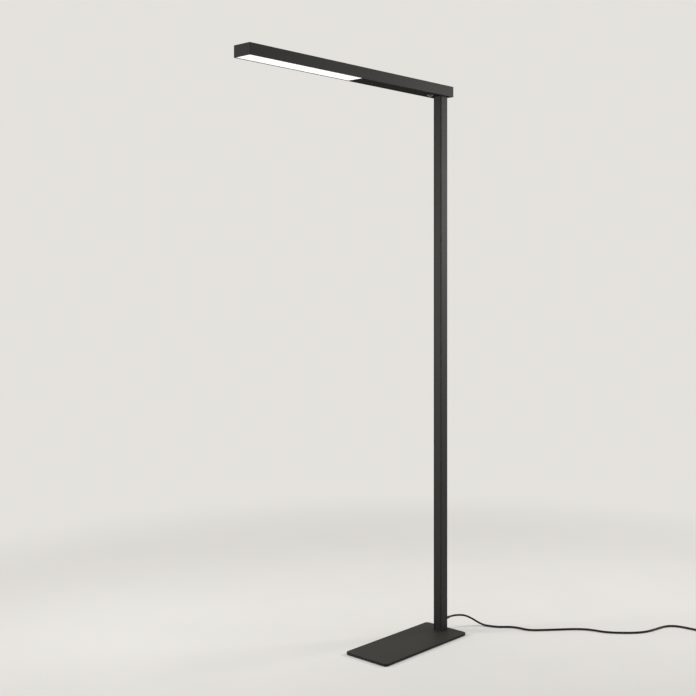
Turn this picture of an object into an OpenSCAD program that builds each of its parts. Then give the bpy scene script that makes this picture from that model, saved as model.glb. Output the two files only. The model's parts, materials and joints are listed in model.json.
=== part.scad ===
// Office floor lamp: a flat lamp head on a square post, lit downwards and upwards.
// Millimetres, +Z up. The origin is on the floor, on the axis of the post.
// The head reaches towards -X, and the mains cord leaves towards +X.

/* [Overall] */
// Height of the lamp above the floor
lamp_h = 1950; // [1600:10:2400]
// Length of the lamp head
head_l = 980; // [800:10:1200]
// How far the head reaches behind the axis of the post
head_rear = 30; // [28:1:45]

/* [Base] */
// Length of the base plate, along the head
base_l = 440; // [360:5:540]
// Width of the base plate
base_w = 180; // [140:5:240]
// Thickness of the base plate
base_t = 8; // [6:0.5:12]
// Radius of the base plate's corners
base_corner_r = 12; // [4:1:30]
// How far the base plate reaches behind the axis of the post
base_rear = 35; // [30:1:60]
// Thickness of the non-slip mat under the base plate
mat_t = 1; // [0.6:0.1:3]
// How far the mat's edge lies inside the plate's edge
mat_inset = 4; // [2:1:10]

/* [Post] */
// Width of the square post
post_w = 35; // [29:1:45]
// Thickness of the post's walls
post_wall = 2; // [1.6:0.1:3]
// Thickness of the strip that closes the front of the post
strip_t = 2; // [1.6:0.1:3]
// How far the post goes up into the head
post_entry = 5; // [4:0.5:7]
// Height of the cord's outlet above the floor
outlet_z = 42; // [30:1:80]

/* [Lamp head] */
// Width of the lamp head
head_w = 70; // [58:1:90]
// Height of the lamp head
head_h = 37; // [31:0.5:45]
// Thickness of the head's side walls
head_wall = 2; // [1.6:0.1:3]
// Thickness of the web between the head's two chambers
web_t = 2; // [1.6:0.1:4]
// Depth of the chamber above the web
upper_depth = 13; // [12:0.5:15]
// Length of the down-light, from the free end of the head
lit_l = 498; // [380:1:620]
// Thickness of the end caps
cap_t = 2.5; // [2:0.5:5]
// Thickness of the covers and the diffusers
cover_t = 2; // [1.5:0.1:2.4]
// How far the covers and the diffusers lie inside the head's edges
cover_set = 1.5; // [0.2:0.1:2]
// Distance from the axis of the post to the front edge of the rear top cover
rear_cover_reach = 40; // [36:1:80]

/* [Lights] */
// Width of the circuit boards
board_w = 20; // [16:1:24]
// Thickness of the circuit boards
board_t = 1.6; // [1:0.2:2]
// Distance between LEDs along a board
led_pitch = 17; // [12:1:30]
// Thickness of the reflectors
reflector_t = 1.2; // [0.8:0.1:2]

/* [Driver and terminals] */
// Width of the LED driver
driver_w = 40; // [30:1:44]
// Length of the terminal block, along the head
terminal_l = 22; // [18:1:26]
// Width of the terminal block
terminal_w = 26; // [22:1:30]

/* [Dimmer] */
// Distance from the front of the post to the axis of the dimmer
dimmer_reach = 42.5; // [40:0.5:50]
// Radius of the button
button_r = 6; // [5:0.5:7]
// How far the button stands out of its bezel
button_out = 2.5; // [2:0.1:3]
// Travel of the button
button_travel = 1.5; // [1:0.1:1.8]
// Thickness of the bezel's flange
bezel_t = 3; // [2:0.1:4]
// Radius of the bezel's flange
bezel_r = 11; // [10:0.5:12]

/* [Mains cord] */
// Diameter of the mains cord
cord_d = 7; // [5.5:0.1:8.5]
// Number of turns in the coil that is put away
coil_turns = 5.25; // [3.25:1:7.25]
// Radius of the plug's front
plug_r = 18.5; // [17:0.5:21]

/* [Hidden] */
$fn = 48;

black = [0.17, 0.17, 0.16];
white = [0.95, 0.95, 0.93];
opal = [0.97, 0.97, 0.94];
bright = [0.75, 0.75, 0.76];
copper = [0.72, 0.45, 0.25];

fit = 0.3;       // clearance between pieces that snap or slide together
shank_fit = 0.1; // clearance round a screw in its own thread
cut = 1;         // how far a cutting shape runs past the face it cuts

// Levels above the floor
base_top = mat_t + base_t;
head_z = lamp_h - head_h;
lower_depth = head_h - web_t - upper_depth;
web_z = head_z + lower_depth;
web_top = web_z + web_t;
post_top = head_z + post_entry;

// Stations along the head
head_x0 = head_rear - head_l;
profile_x0 = head_x0 + cap_t;
profile_x1 = head_rear - cap_t;
split_x = head_x0 + lit_l;
head_inner = head_w / 2 - head_wall;

// Screws: thread radius, clearance radius and head radius
m5_r = 2.1;
m5_hole_r = 2.75;
m5_sunk_r = 5;
m5_head_r = 4.25;
m5_head_h = 5;
m5_key_r = 2.3;
m3_r = 1.2;
m3_hole_r = 1.7;
m3_head_r = 2.75;
m3_head_h = 1.8;
m3_slot_w = 0.7;
base_screw_grip = 25;
mount_screw_grip = 24;

// Post: screw channels, and the ribs that hold the cover strip
port_r = 4;
port_merge = 0.5;
rib_out = 0.6;
rib_gap = 1.2;
rib_t = 1;
strip_leg_t = 1;
strip_hook = 1.3;
strip_gap = 0.4;
post_inner = post_w / 2 - post_wall;
strip_back_x = -post_w / 2 + strip_t;
strip_rib_x = strip_back_x + rib_gap;
strip_hook_x = strip_rib_x + rib_t + fit;
strip_leg_x = strip_hook_x + strip_hook;
port_y = post_inner + port_merge - port_r;
rear_port_x = port_y;
front_port_x = strip_leg_x + fit + port_r;
port_places = [
    for (x = [front_port_x, rear_port_x])
        for (side = [-1, 1])
            [x, side * port_y]
];

// Head: snap ribs, cover legs and the channels that hold the end caps
head_corner_r = 1;
snap_out = 0.8;
snap_gap = 1.1;
snap_z = cover_set + cover_t + snap_gap;
snap_t = 1.2;
leg_t = 1;
hook_z = snap_z + snap_t + fit;
leg_z = hook_z + 1.5;
cover_half = head_inner - 0.2;
leg_outer = head_inner - snap_out - fit;
leg_inner = leg_outer - leg_t;
cap_port_r = 3;
cap_bore_r = 2;
cap_port_y = head_inner + 0.5 - cap_port_r;
cap_peg_l = 10;

// Mount block and the cable through it
block_front_x = -(post_w / 2 + 9.5);
block_rear_x = profile_x1 - 2.5;
block_half = cap_port_y - cap_port_r - fit;
block_slot = cord_d + 2;
cable_x = -3;
cable_bend_low = 16;
cable_bend_top = 22;
cable_z = (web_z + post_top) / 2;
cable_end_x = block_front_x - 19;
clamp_l = 12;
clamp_x1 = block_front_x - 4;
clamp_wall = 2.5;
clamp_half = cord_d / 2 + 9;
clamp_screw_y = cord_d / 2 + 4.5;

// Lights
end_gap = 2;
tray_gap = 0.3;
cover_in = cover_set + cover_t;
led_l = 3;
led_w = 2.8;
led_t = 0.8;
led_row = board_w / 4;
reflector_foot = board_w / 2 + 1;
reflector_rim = leg_inner - fit;
down_tray_x0 = profile_x0 + end_gap;
down_tray_x1 = split_x - end_gap;
up_tray_x0 = split_x + end_gap;
up_tray_x1 = -rear_cover_reach - end_gap;
board_end_gap = 4;
wire_d = 2.4;
wire_hole_r = 3.2;
wire_side = 6;
wire_apart = 1.6;
down_wire_drop = 3;
board_screw_count = 4;
board_screw_end = 30;

// Driver, terminals and earth
dimmer_x = post_w / 2 + dimmer_reach;
terminal_x1 = -dimmer_x - 40;
terminal_x0 = terminal_x1 - terminal_l;
driver_gap = 3;
driver_lead = 28;
driver_wire_room = 62;
driver_h = lower_depth - cover_in - driver_gap;
driver_x1 = terminal_x0 - driver_lead;
driver_x0 = split_x + driver_wire_room;
ear_l = 9;
ear_t = 2.5;
terminal_y = 6;
terminal_pole = 8;
lug_x = -dimmer_x - 30;
lug_y = -18;
lug_r = 4;
lug_t = 0.8;
lug_tail = 7;

// Dimmer
button_fit = 0.3;
collar_out = 0.8;
collar_t = 1.5;
barrel_wall = 0.8;
barrel_h = 10.5;
bezel_face_z = head_z + cover_set;
barrel_z = head_z + barrel_h;
step_z = bezel_face_z + 1.5;
barrel_r = button_r + collar_out + button_fit + barrel_wall;
nut_af = 2 * barrel_r + 4.4;
nut_t = 3;
stem_r = 2.5;
dimmer_wire_d = 1.2;
stem_entry = button_travel + 0.6;
collar_z = step_z + 0.1;
spring_z = collar_z + collar_t + 0.1;
spring_wire = 0.7;
spring_r = stem_r + 0.8 + spring_wire;
spring_turns = 4;
switch_r = barrel_r - 0.4;
pin_r = 0.6;
pin_l = 2;
switch_top = web_z - pin_l - 1;

// Strain relief at the rear of the post
outlet_r = cord_d / 2 + 2.3;
relief_flange_r = outlet_r + 2.2;
relief_flange_t = 3;
relief_collar_t = 2.5;
relief_l = 30;
relief_root_r = outlet_r;
relief_tip_r = cord_d / 2 + 1;
relief_bore_r = cord_d / 2 + 0.1;
relief_tip_x = post_w / 2 + relief_flange_t + relief_l;

// Free cord on the floor, as seen from above, from the strain relief to the coil
floor_z = cord_d / 2;
cord_route = [
    [66, -1, 42], [80, -5, 42], [95, -12, 41], [110, -20, 38.5], [123, -30, 33],
    [136, -42, 24], [148, -56, 13], [157, -71, 5.5], [162, -88, floor_z],
    [170, -113, floor_z], [182, -132, floor_z], [197, -148, floor_z],
    [210, -165, floor_z], [217, -187, floor_z], [219, -211, floor_z],
    [227, -233, floor_z], [243, -252, floor_z], [273, -280, floor_z],
    [306, -309, floor_z], [338, -338, floor_z], [362, -367, floor_z],
    [374, -390, floor_z], [380, -413, floor_z], [387, -438, floor_z],
    [403, -467, floor_z], [428, -498, floor_z], [458, -527, floor_z],
    [496, -548, floor_z], [540, -558, floor_z], [580, -566, floor_z],
    [607, -579, floor_z], [621, -600, floor_z], [627, -628, floor_z],
    [629, -662, floor_z]
];

// Coil that is put away beyond the end of the free cord
tie_t = 0.8;
tie_w = 12;
coil_gap = 0.5;
coil_x = 684;
coil_y = -722;
coil_mid_r = 6 * cord_d;
coil_pitch = cord_d + coil_gap;
coil_start_r = coil_mid_r + coil_pitch * coil_turns / 4;
coil_end_r = coil_mid_r - coil_pitch * coil_turns / 4;
coil_low_z = tie_t + 0.1 + cord_d / 2;
coil_high_z = coil_low_z + coil_pitch;
coil_first = 180;
coil_steps = 24;
coil_sides = 6;
cord_sides = 8;
tie_angle = 45;

// Plug at the end of the tail, lying beside the coil
plug_z = plug_r + 0.2;
plug_neck_l = 22;
plug_grip_l = 26;
plug_head_l = 17;
plug_x = coil_x + 82;
plug_y = coil_y - coil_start_r;
plug_head_x = plug_x + plug_neck_l + plug_grip_l;
plug_face_x = plug_head_x + plug_head_l;
plug_neck_r = cord_d / 2 + 3;
plug_neck_tip_r = cord_d / 2 + 1;
plug_grip_r = 11;
plug_pin_r = 2.4;
plug_pin_l = 19;
plug_pin_in = 8;
plug_pin_y = 9.5;
clip_l = 14;
clip_w = 6;
clip_t = 1;
groove_w = clip_w + 2;
groove_d = 3.5;

// ---------- Shapes that repeat ----------

// A rectangle with true round corners
module round_rect(w, h, r) {
    square([w - 2 * r, h], center = true);
    square([w, h - 2 * r], center = true);
    for (x = [-1, 1], y = [-1, 1])
        translate([x * (w / 2 - r), y * (h / 2 - r)]) circle(r);
}

// Runs a section that is drawn across the head, as (Y, Z), from x0 to x1
module along_head(x0, x1) {
    translate([x0, 0, 0]) rotate([90, 0, 90]) linear_extrude(x1 - x0) children();
}

// A cylinder along +X from x0 to x1
module rod_x(x0, x1, r1, r2) {
    translate([x0, 0, 0]) rotate([0, 90, 0]) cylinder(h = x1 - x0, r1 = r1, r2 = r2);
}

// A pan-head screw whose head sits at the origin and whose shank runs up
module pan_screw(length) {
    difference() {
        translate([0, 0, -m3_head_h]) cylinder(h = m3_head_h, r = m3_head_r);
        for (turn = [0, 90])
            rotate([0, 0, turn])
                translate([0, 0, -m3_head_h])
                    cube([1.4 * m3_head_r, m3_slot_w, m3_head_h], center = true);
    }
    cylinder(h = length, r = m3_r);
}

// Both sides of a symmetrical section
module both_sides() {
    children();
    mirror([1, 0]) children();
}

// The section of a snap-in cover, from its outer face up
module cover_section() {
    translate([-cover_half, cover_set]) square([2 * cover_half, cover_t]);
    both_sides() {
        translate([leg_inner, cover_in - 0.1]) square([leg_t, leg_z - cover_in + 0.1]);
        translate([leg_inner, hook_z]) square([head_inner - fit - leg_inner, leg_z - hook_z]);
    }
}

// A cover or diffuser in the underside or the top of the head
module lower_cover(x0, x1) {
    translate([0, 0, head_z]) along_head(x0, x1) cover_section();
}

module upper_cover(x0, x1) {
    translate([0, 0, lamp_h]) mirror([0, 0, 1]) along_head(x0, x1) cover_section();
}

// ---------- Tubes along a route ----------

function unit(v) = v / norm(v);
function square_to(t, v) = unit(v - (v * t) * t);
function heading(p, i) = unit(p[min(i + 1, len(p) - 1)] - p[max(i - 1, 0)]);
function normals(p, start) = [
    for (
        i = 0, n = square_to(heading(p, 0), start);
        i < len(p);
        i = i + 1, n = i < len(p) ? square_to(heading(p, i), n) : n
    ) n
];
function route_length(p) = len(p) < 2 ? 0
    : [for (i = 0, s = 0; i < len(p); i = i + 1, s = i < len(p) ? s + norm(p[i] - p[i - 1]) : s) s][len(p) - 1];

// The points of a smooth curve through p, with one more point halfway along each span
function halfway(a, b, c, d) = (9 * (b + c) - a - d) / 16;
function smooth(p) = [
    for (i = [0:len(p) - 1])
        each (i == len(p) - 1 ? [p[i]]
            : [p[i], halfway(p[max(i - 1, 0)], p[i], p[i + 1], p[min(i + 2, len(p) - 1)])])
];

// A closed round tube of diameter d along the points p
module tube(p, d, sides, start = [0, 0, 1]) {
    n = normals(p, start);
    rings = [
        for (i = [0:len(p) - 1])
            let (side = cross(heading(p, i), n[i]))
                for (k = [0:sides - 1])
                    p[i] + d / 2 * (cos(360 * k / sides) * n[i] + sin(360 * k / sides) * side)
    ];
    last = (len(p) - 1) * sides;
    walls = [
        for (i = [0:len(p) - 2])
            for (k = [0:sides - 1])
                let (a = i * sides + k, b = i * sides + (k + 1) % sides)
                    each [[a, b + sides, b], [a, a + sides, b + sides]]
    ];
    near_end = [for (k = [1:sides - 2]) [0, k, k + 1]];
    far_end = [for (k = [1:sides - 2]) [last, last + k + 1, last + k]];
    polyhedron(rings, concat(near_end, walls, far_end), convexity = 8);
}

// Points on a quarter bend from one straight run to the next, both square to each other
function bend(centre, from, to, r, steps = 6) = [
    for (k = [0:steps])
        centre + r * (cos(90 * k / steps) * from + sin(90 * k / steps) * to)
];

// ---------- Base ----------

module base_outline(inset) {
    centre_x = base_rear - base_l / 2;
    translate([centre_x, 0])
        round_rect(base_l - 2 * inset, base_w - 2 * inset, max(base_corner_r - inset, 1));
}

module base_plate() {
    color(black)
        difference() {
            translate([0, 0, mat_t]) linear_extrude(base_t) base_outline(0);
            for (place = port_places)
                translate([place.x, place.y, mat_t]) {
                    translate([0, 0, -cut]) cylinder(h = base_t + 2 * cut, r = m5_hole_r);
                    cylinder(h = m5_sunk_r - m5_r, r1 = m5_sunk_r + 0.15, r2 = m5_r + 0.15);
                }
        }
}

module base_mat() {
    color("dimgray") linear_extrude(mat_t) base_outline(mat_inset);
}

module base_screws() {
    color(bright)
        for (place = port_places)
            translate([place.x, place.y, mat_t])
                difference() {
                    union() {
                        cylinder(h = m5_sunk_r - m5_r, r1 = m5_sunk_r, r2 = m5_r - shank_fit);
                        cylinder(h = base_t + base_screw_grip, r = m5_r - shank_fit);
                    }
                    translate([0, 0, -cut]) cylinder(h = cut + 2.2, r = 1.7, $fn = 6);
                }
}

// ---------- Post ----------

module post_section() {
    difference() {
        union() {
            difference() {
                round_rect(post_w, post_w, head_corner_r);
                translate([-post_w / 2 - cut, -post_inner])
                    square([post_w + cut - post_wall, 2 * post_inner]);
            }
            for (side = [-1, 1])
                translate([strip_rib_x + rib_t / 2, side * (post_inner + (port_merge - rib_out) / 2)])
                    square([rib_t, rib_out + port_merge], center = true);
            for (place = port_places)
                translate(place) circle(port_r);
        }
        for (place = port_places)
            translate(place) circle(m5_r);
    }
}

module post_channel() {
    color(black)
        difference() {
            translate([0, 0, base_top]) linear_extrude(post_top - base_top) post_section();
            translate([0, 0, outlet_z]) rod_x(post_inner - cut, post_w / 2 + cut, outlet_r + 0.2, outlet_r + 0.2);
            translate([0, 0, outlet_z])
                rod_x(
                    post_inner - relief_collar_t - fit, post_inner,
                    relief_flange_r + fit, relief_flange_r + fit
                );
        }
}

module post_cover_strip() {
    half = post_inner - strip_gap;
    leg_y = post_inner - rib_out - fit - strip_leg_t;
    color(black)
        translate([0, 0, base_top])
            linear_extrude(post_top - base_top) {
                translate([-post_w / 2, -half]) square([strip_t, 2 * half]);
                for (side = [0, 1])
                    mirror([0, side]) {
                        translate([strip_back_x - 0.1, leg_y])
                            square([strip_leg_x - strip_back_x + 0.1, strip_leg_t]);
                        translate([strip_hook_x, leg_y])
                            square([strip_hook, post_inner - fit - leg_y]);
                    }
            }
}

// ---------- Joint of the post and the head ----------

module mount_block() {
    color(bright)
        difference() {
            translate([block_front_x, -block_half, post_top])
                cube([block_rear_x - block_front_x, 2 * block_half, web_z - post_top]);
            translate([block_front_x - cut, -block_slot / 2, post_top - cut])
                cube([cable_x + block_slot - block_front_x + cut, block_slot, web_z - post_top + 2 * cut]);
            for (place = port_places)
                translate([place.x, place.y, post_top - cut])
                    cylinder(h = web_z - post_top + 2 * cut, r = m5_hole_r);
        }
}

module mount_screws() {
    shank_l = web_top - post_top + mount_screw_grip;
    color(bright)
        for (place = port_places)
            translate([place.x, place.y, web_top]) {
                translate([0, 0, -shank_l]) cylinder(h = shank_l, r = m5_r - shank_fit);
                difference() {
                    cylinder(h = m5_head_h, r = m5_head_r);
                    translate([0, 0, m5_head_h / 2])
                        cylinder(h = m5_head_h, r = m5_key_r, $fn = 6);
                }
            }
}

// ---------- Head ----------

module head_outline() {
    translate([0, head_h / 2]) round_rect(head_w, head_h, head_corner_r);
}

module head_section() {
    difference() {
        union() {
            difference() {
                head_outline();
                translate([-head_inner, -cut]) square([2 * head_inner, lower_depth + cut]);
                translate([-head_inner, lower_depth + web_t])
                    square([2 * head_inner, upper_depth + cut]);
            }
            both_sides() {
                translate([cap_port_y, lower_depth + web_t / 2]) circle(cap_port_r);
                for (z = [snap_z, head_h - snap_z - snap_t])
                    translate([head_inner - snap_out, z]) square([snap_out + 0.1, snap_t]);
            }
        }
        both_sides() translate([cap_port_y, lower_depth + web_t / 2]) circle(cap_bore_r);
    }
}

// Places of the screws that hold a circuit board from x0 to x1
function board_screw_x(x0, x1) = [
    for (k = [0:board_screw_count - 1])
        x0 + board_screw_end + k * (x1 - x0 - 2 * board_screw_end) / (board_screw_count - 1)
];
down_board_x0 = down_tray_x0 + board_end_gap;
down_board_x1 = down_tray_x1 - board_end_gap;
up_board_x0 = up_tray_x0 + 2 * board_end_gap;
up_board_x1 = up_tray_x1 - board_end_gap;
up_wire_x = up_tray_x0 + reflector_t + wire_hole_r;

module web_hole(x, y, r) {
    translate([x, y, web_z - cut]) cylinder(h = web_t + 2 * cut, r = r);
}

module head_profile() {
    color(black)
        difference() {
            translate([0, 0, head_z]) along_head(profile_x0, profile_x1) head_section();
            for (place = port_places)
                web_hole(place.x, place.y, m5_hole_r);
            for (x = concat(board_screw_x(down_board_x0, down_board_x1), board_screw_x(up_board_x0, up_board_x1)))
                web_hole(x, 0, m3_r + shank_fit);
            for (x = [driver_x0 - ear_l / 2, driver_x1 + ear_l / 2])
                web_hole(x, 0, m3_r + shank_fit);
            for (side = [-1, 1])
                web_hole(clamp_x1 - clamp_l / 2, side * clamp_screw_y, m3_r + shank_fit);
            web_hole(terminal_x0 + terminal_l / 2, terminal_y, m3_r + shank_fit);
            web_hole(lug_x, lug_y, m3_r + shank_fit);
            web_hole(up_wire_x, -wire_side, wire_hole_r);
        }
}

module cap_pegs(x0, x1) {
    for (side = [-1, 1])
        translate([0, side * cap_port_y, web_z + web_t / 2])
            rod_x(x0, x1, cap_bore_r - shank_fit, cap_bore_r - shank_fit);
}

module front_end_cap() {
    color(black) {
        translate([0, 0, head_z]) along_head(head_x0, profile_x0) head_outline();
        cap_pegs(profile_x0 - cap_t / 2, profile_x0 + cap_peg_l);
    }
}

module rear_end_cap() {
    color(black) {
        translate([0, 0, head_z]) along_head(profile_x1, head_rear) head_outline();
        cap_pegs(profile_x1 - cap_peg_l, profile_x1 + cap_t / 2);
    }
}

module front_top_cover() {
    color(black) upper_cover(profile_x0 + fit, split_x - fit / 2);
}

module rear_top_cover() {
    color(black) upper_cover(-rear_cover_reach + fit / 2, profile_x1 - fit);
}

module underside_cover() {
    hole = post_w + 2 * fit;
    color(black)
        difference() {
            lower_cover(split_x + fit / 2, profile_x1 - fit);
            translate([-hole / 2, -hole / 2, head_z - cut]) cube([hole, hole, cover_in + 2 * cut]);
            translate([-dimmer_x, 0, head_z - cut]) cylinder(h = cover_in + 2 * cut, r = barrel_r + 0.1);
        }
}

// ---------- Lights ----------

// A white tray whose sides slope from the board to the diffuser, drawn from the web out
module tray_section(depth) {
    both_sides()
        polygon([
            [reflector_foot, 0],
            [reflector_foot + reflector_t, 0],
            [reflector_rim, depth],
            [reflector_rim - reflector_t, depth]
        ]);
}

module tray_end(depth) {
    polygon([
        [-reflector_foot - reflector_t, 0],
        [reflector_foot + reflector_t, 0],
        [reflector_rim, depth],
        [-reflector_rim, depth]
    ]);
}

module tray(x0, x1, depth) {
    along_head(x0, x1) tray_section(depth);
    along_head(x0, x0 + reflector_t) tray_end(depth);
    along_head(x1 - reflector_t, x1) tray_end(depth);
}

module leds(x0, x1) {
    count = floor((x1 - x0 - led_pitch) / led_pitch);
    first = (x0 + x1 - (count - 1) * led_pitch) / 2;
    for (k = [0:count - 1], row = [-led_row, led_row])
        translate([first + k * led_pitch - led_l / 2, row - led_w / 2, 0])
            cube([led_l, led_w, led_t]);
}

module board(x0, x1) {
    difference() {
        translate([x0, -board_w / 2, 0]) cube([x1 - x0, board_w, board_t]);
        for (x = board_screw_x(x0, x1))
            translate([x, 0, -cut]) cylinder(h = board_t + 2 * cut, r = m3_hole_r);
    }
}

// Turns what is drawn from the web out into the chamber below the web, or above it
module below_web() {
    translate([0, 0, web_z]) mirror([0, 0, 1]) children();
}

module above_web() {
    translate([0, 0, web_top]) children();
}

module downlight_diffuser() {
    color(opal) lower_cover(profile_x0 + fit, split_x - fit / 2);
}

module downlight_reflector() {
    color(white)
        below_web()
            difference() {
                tray(down_tray_x0, down_tray_x1, lower_depth - cover_in - tray_gap);
                translate([0, wire_side, board_t + down_wire_drop])
                    rod_x(down_tray_x1 - reflector_t - cut, down_tray_x1 + cut, wire_hole_r, wire_hole_r);
            }
}

module downlight_board() {
    color("seagreen") below_web() board(down_board_x0, down_board_x1);
}

module downlight_leds() {
    color("khaki") below_web() translate([0, 0, board_t]) leds(down_board_x0, down_board_x1);
}

module uplight_diffuser() {
    color(opal) upper_cover(split_x + fit / 2, -rear_cover_reach - fit / 2);
}

module uplight_reflector() {
    color(white) above_web() tray(up_tray_x0, up_tray_x1, upper_depth - cover_in - tray_gap);
}

module uplight_board() {
    color("seagreen") above_web() board(up_board_x0, up_board_x1);
}

module uplight_leds() {
    color("khaki") above_web() translate([0, 0, board_t]) leds(up_board_x0, up_board_x1);
}

module board_screws() {
    color(bright) {
        for (x = board_screw_x(down_board_x0, down_board_x1))
            translate([x, 0, web_z - board_t]) pan_screw(board_t + web_t);
        for (x = board_screw_x(up_board_x0, up_board_x1))
            translate([x, 0, web_top + board_t]) mirror([0, 0, 1]) pan_screw(board_t + web_t);
    }
}

// ---------- Driver, terminals, clamp and earth ----------

module led_driver() {
    color(white)
        difference() {
            union() {
                translate([driver_x0, -driver_w / 2, web_z - driver_h]) cube([driver_x1 - driver_x0, driver_w, driver_h]);
                translate([driver_x0 - ear_l, -driver_w / 4, web_z - ear_t])
                    cube([driver_x1 - driver_x0 + 2 * ear_l, driver_w / 2, ear_t]);
            }
            for (x = [driver_x0 - ear_l / 2, driver_x1 + ear_l / 2])
                translate([x, 0, web_z - ear_t - cut]) cylinder(h = ear_t + 2 * cut, r = m3_hole_r);
        }
}

module driver_screws() {
    color(bright)
        for (x = [driver_x0 - ear_l / 2, driver_x1 + ear_l / 2])
            translate([x, 0, web_z - ear_t]) pan_screw(ear_t + web_t);
}

module terminal_block() {
    centre_x = terminal_x0 + terminal_l / 2;
    color(white)
        difference() {
            translate([terminal_x0, terminal_y - terminal_w / 2, web_z - driver_h])
                cube([terminal_l, terminal_w, driver_h]);
            for (pole = [-1:1])
                translate([terminal_x0 - cut, terminal_y + pole * terminal_pole, cable_z])
                    rotate([0, 90, 0]) cylinder(h = terminal_l + 2 * cut, r = wire_d / 2 + 0.2);
            for (pole = [-1:1], end = [-1, 1])
                translate([centre_x + end * terminal_l / 4, terminal_y + pole * terminal_pole, web_z - driver_h - cut])
                    cylinder(h = cable_z - web_z + driver_h, r = 1.8);
        }
}

module cable_clamp() {
    bottom = cable_z - cord_d / 2 - clamp_wall;
    color(white)
        difference() {
            translate([clamp_x1 - clamp_l, -clamp_half, bottom]) cube([clamp_l, 2 * clamp_half, web_z - bottom]);
            translate([0, 0, cable_z])
                rod_x(clamp_x1 - clamp_l - cut, clamp_x1 + cut, relief_bore_r, relief_bore_r);
            for (side = [-1, 1])
                translate([clamp_x1 - clamp_l / 2, side * clamp_screw_y, bottom - cut])
                    cylinder(h = web_z - bottom + 2 * cut, r = m3_hole_r);
        }
}

module clamp_screws() {
    bottom = cable_z - cord_d / 2 - clamp_wall;
    color(bright)
        for (side = [-1, 1])
            translate([clamp_x1 - clamp_l / 2, side * clamp_screw_y, bottom]) pan_screw(web_top - bottom);
}

module earth_lug() {
    color(copper)
        translate([lug_x, lug_y, web_z - lug_t])
            difference() {
                union() {
                    cylinder(h = lug_t, r = lug_r);
                    translate([0, -1.5, 0]) cube([lug_r + lug_tail, 3, lug_t]);
                }
                translate([0, 0, -cut]) cylinder(h = lug_t + 2 * cut, r = m3_hole_r);
            }
}

module earth_screw() {
    color(bright) translate([lug_x, lug_y, web_z - lug_t]) pan_screw(lug_t + web_t);
}

// ---------- Dimmer ----------

module dimmer_bezel() {
    color(bright)
        translate([-dimmer_x, 0, 0])
            difference() {
                union() {
                    translate([0, 0, bezel_face_z - bezel_t]) cylinder(h = bezel_t, r = bezel_r);
                    translate([0, 0, bezel_face_z - cut]) cylinder(h = barrel_z - bezel_face_z + cut, r = barrel_r);
                }
                translate([0, 0, bezel_face_z - bezel_t - cut])
                    cylinder(h = bezel_t + barrel_h, r = button_r + button_fit);
                translate([0, 0, step_z])
                    cylinder(h = barrel_z - step_z + cut, r = barrel_r - barrel_wall);
            }
}

module dimmer_nut() {
    color(bright)
        translate([-dimmer_x, 0, head_z + cover_in])
            difference() {
                cylinder(h = nut_t, r = nut_af / 2 / cos(30), $fn = 6);
                translate([0, 0, -cut]) cylinder(h = nut_t + 2 * cut, r = barrel_r + shank_fit);
            }
}

module dimmer_button() {
    low = bezel_face_z - bezel_t - button_out;
    color(bright)
        translate([-dimmer_x, 0, 0]) {
            translate([0, 0, low]) cylinder(h = 0.6, r1 = button_r - 0.6, r2 = button_r);
            translate([0, 0, low + 0.6]) cylinder(h = collar_z + collar_t / 2 - low - 0.6, r = button_r);
            translate([0, 0, collar_z]) cylinder(h = collar_t, r = button_r + collar_out);
            translate([0, 0, collar_z]) cylinder(h = barrel_z - collar_z, r = stem_r);
        }
}

// A helix of round wire whose lower end rests on the button's collar
function helix_point(a) = [
    spring_r * cos(a) - dimmer_x,
    spring_r * sin(a),
    spring_z + spring_wire / 2 + (barrel_z - 0.1 - spring_z - spring_wire) * a / (360 * spring_turns)
];

module dimmer_spring() {
    color(bright)
        tube([for (a = [0:30:360 * spring_turns]) helix_point(a)], spring_wire, 6);
}

module dimmer_switch() {
    color(black)
        translate([-dimmer_x, 0, 0])
            difference() {
                union() {
                    translate([0, 0, barrel_z]) cylinder(h = switch_top - barrel_z, r = switch_r);
                    for (side = [-1, 1])
                        translate([0, side * 3, switch_top - cut]) cylinder(h = pin_l + cut, r = pin_r);
                }
                translate([0, 0, barrel_z - cut]) cylinder(h = stem_entry + cut, r = stem_r + button_fit);
            }
}

// ---------- Cables inside ----------

// One sheathed cable, from the strain relief up the post and out through the mount block
inner_route = concat(
    [[relief_tip_x, 0, outlet_z], [post_w / 2, 0, outlet_z]],
    bend([cable_x + cable_bend_low, 0, outlet_z + cable_bend_low], [0, 0, -1], [-1, 0, 0], cable_bend_low),
    bend([cable_x - cable_bend_top, 0, cable_z - cable_bend_top], [1, 0, 0], [0, 0, 1], cable_bend_top),
    [[cable_end_x, 0, cable_z]]
);

module inner_cable() {
    color(black) tube(inner_route, cord_d, 12, [0, 1, 0]);
}

// The way of a wire past the dimmer's switch, on the side and at the distance given
function past_switch(side, y, lift) = [
    [cable_end_x - 0.2, side * 1.6, cable_z + lift],
    [cable_end_x - 1.4, side * 1.6, cable_z + lift],
    [-dimmer_x + switch_r + 3, side * 6, cable_z + lift],
    [-dimmer_x + 5, side * y, cable_z + lift],
    [-dimmer_x - 6, side * y, cable_z + lift]
];

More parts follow.
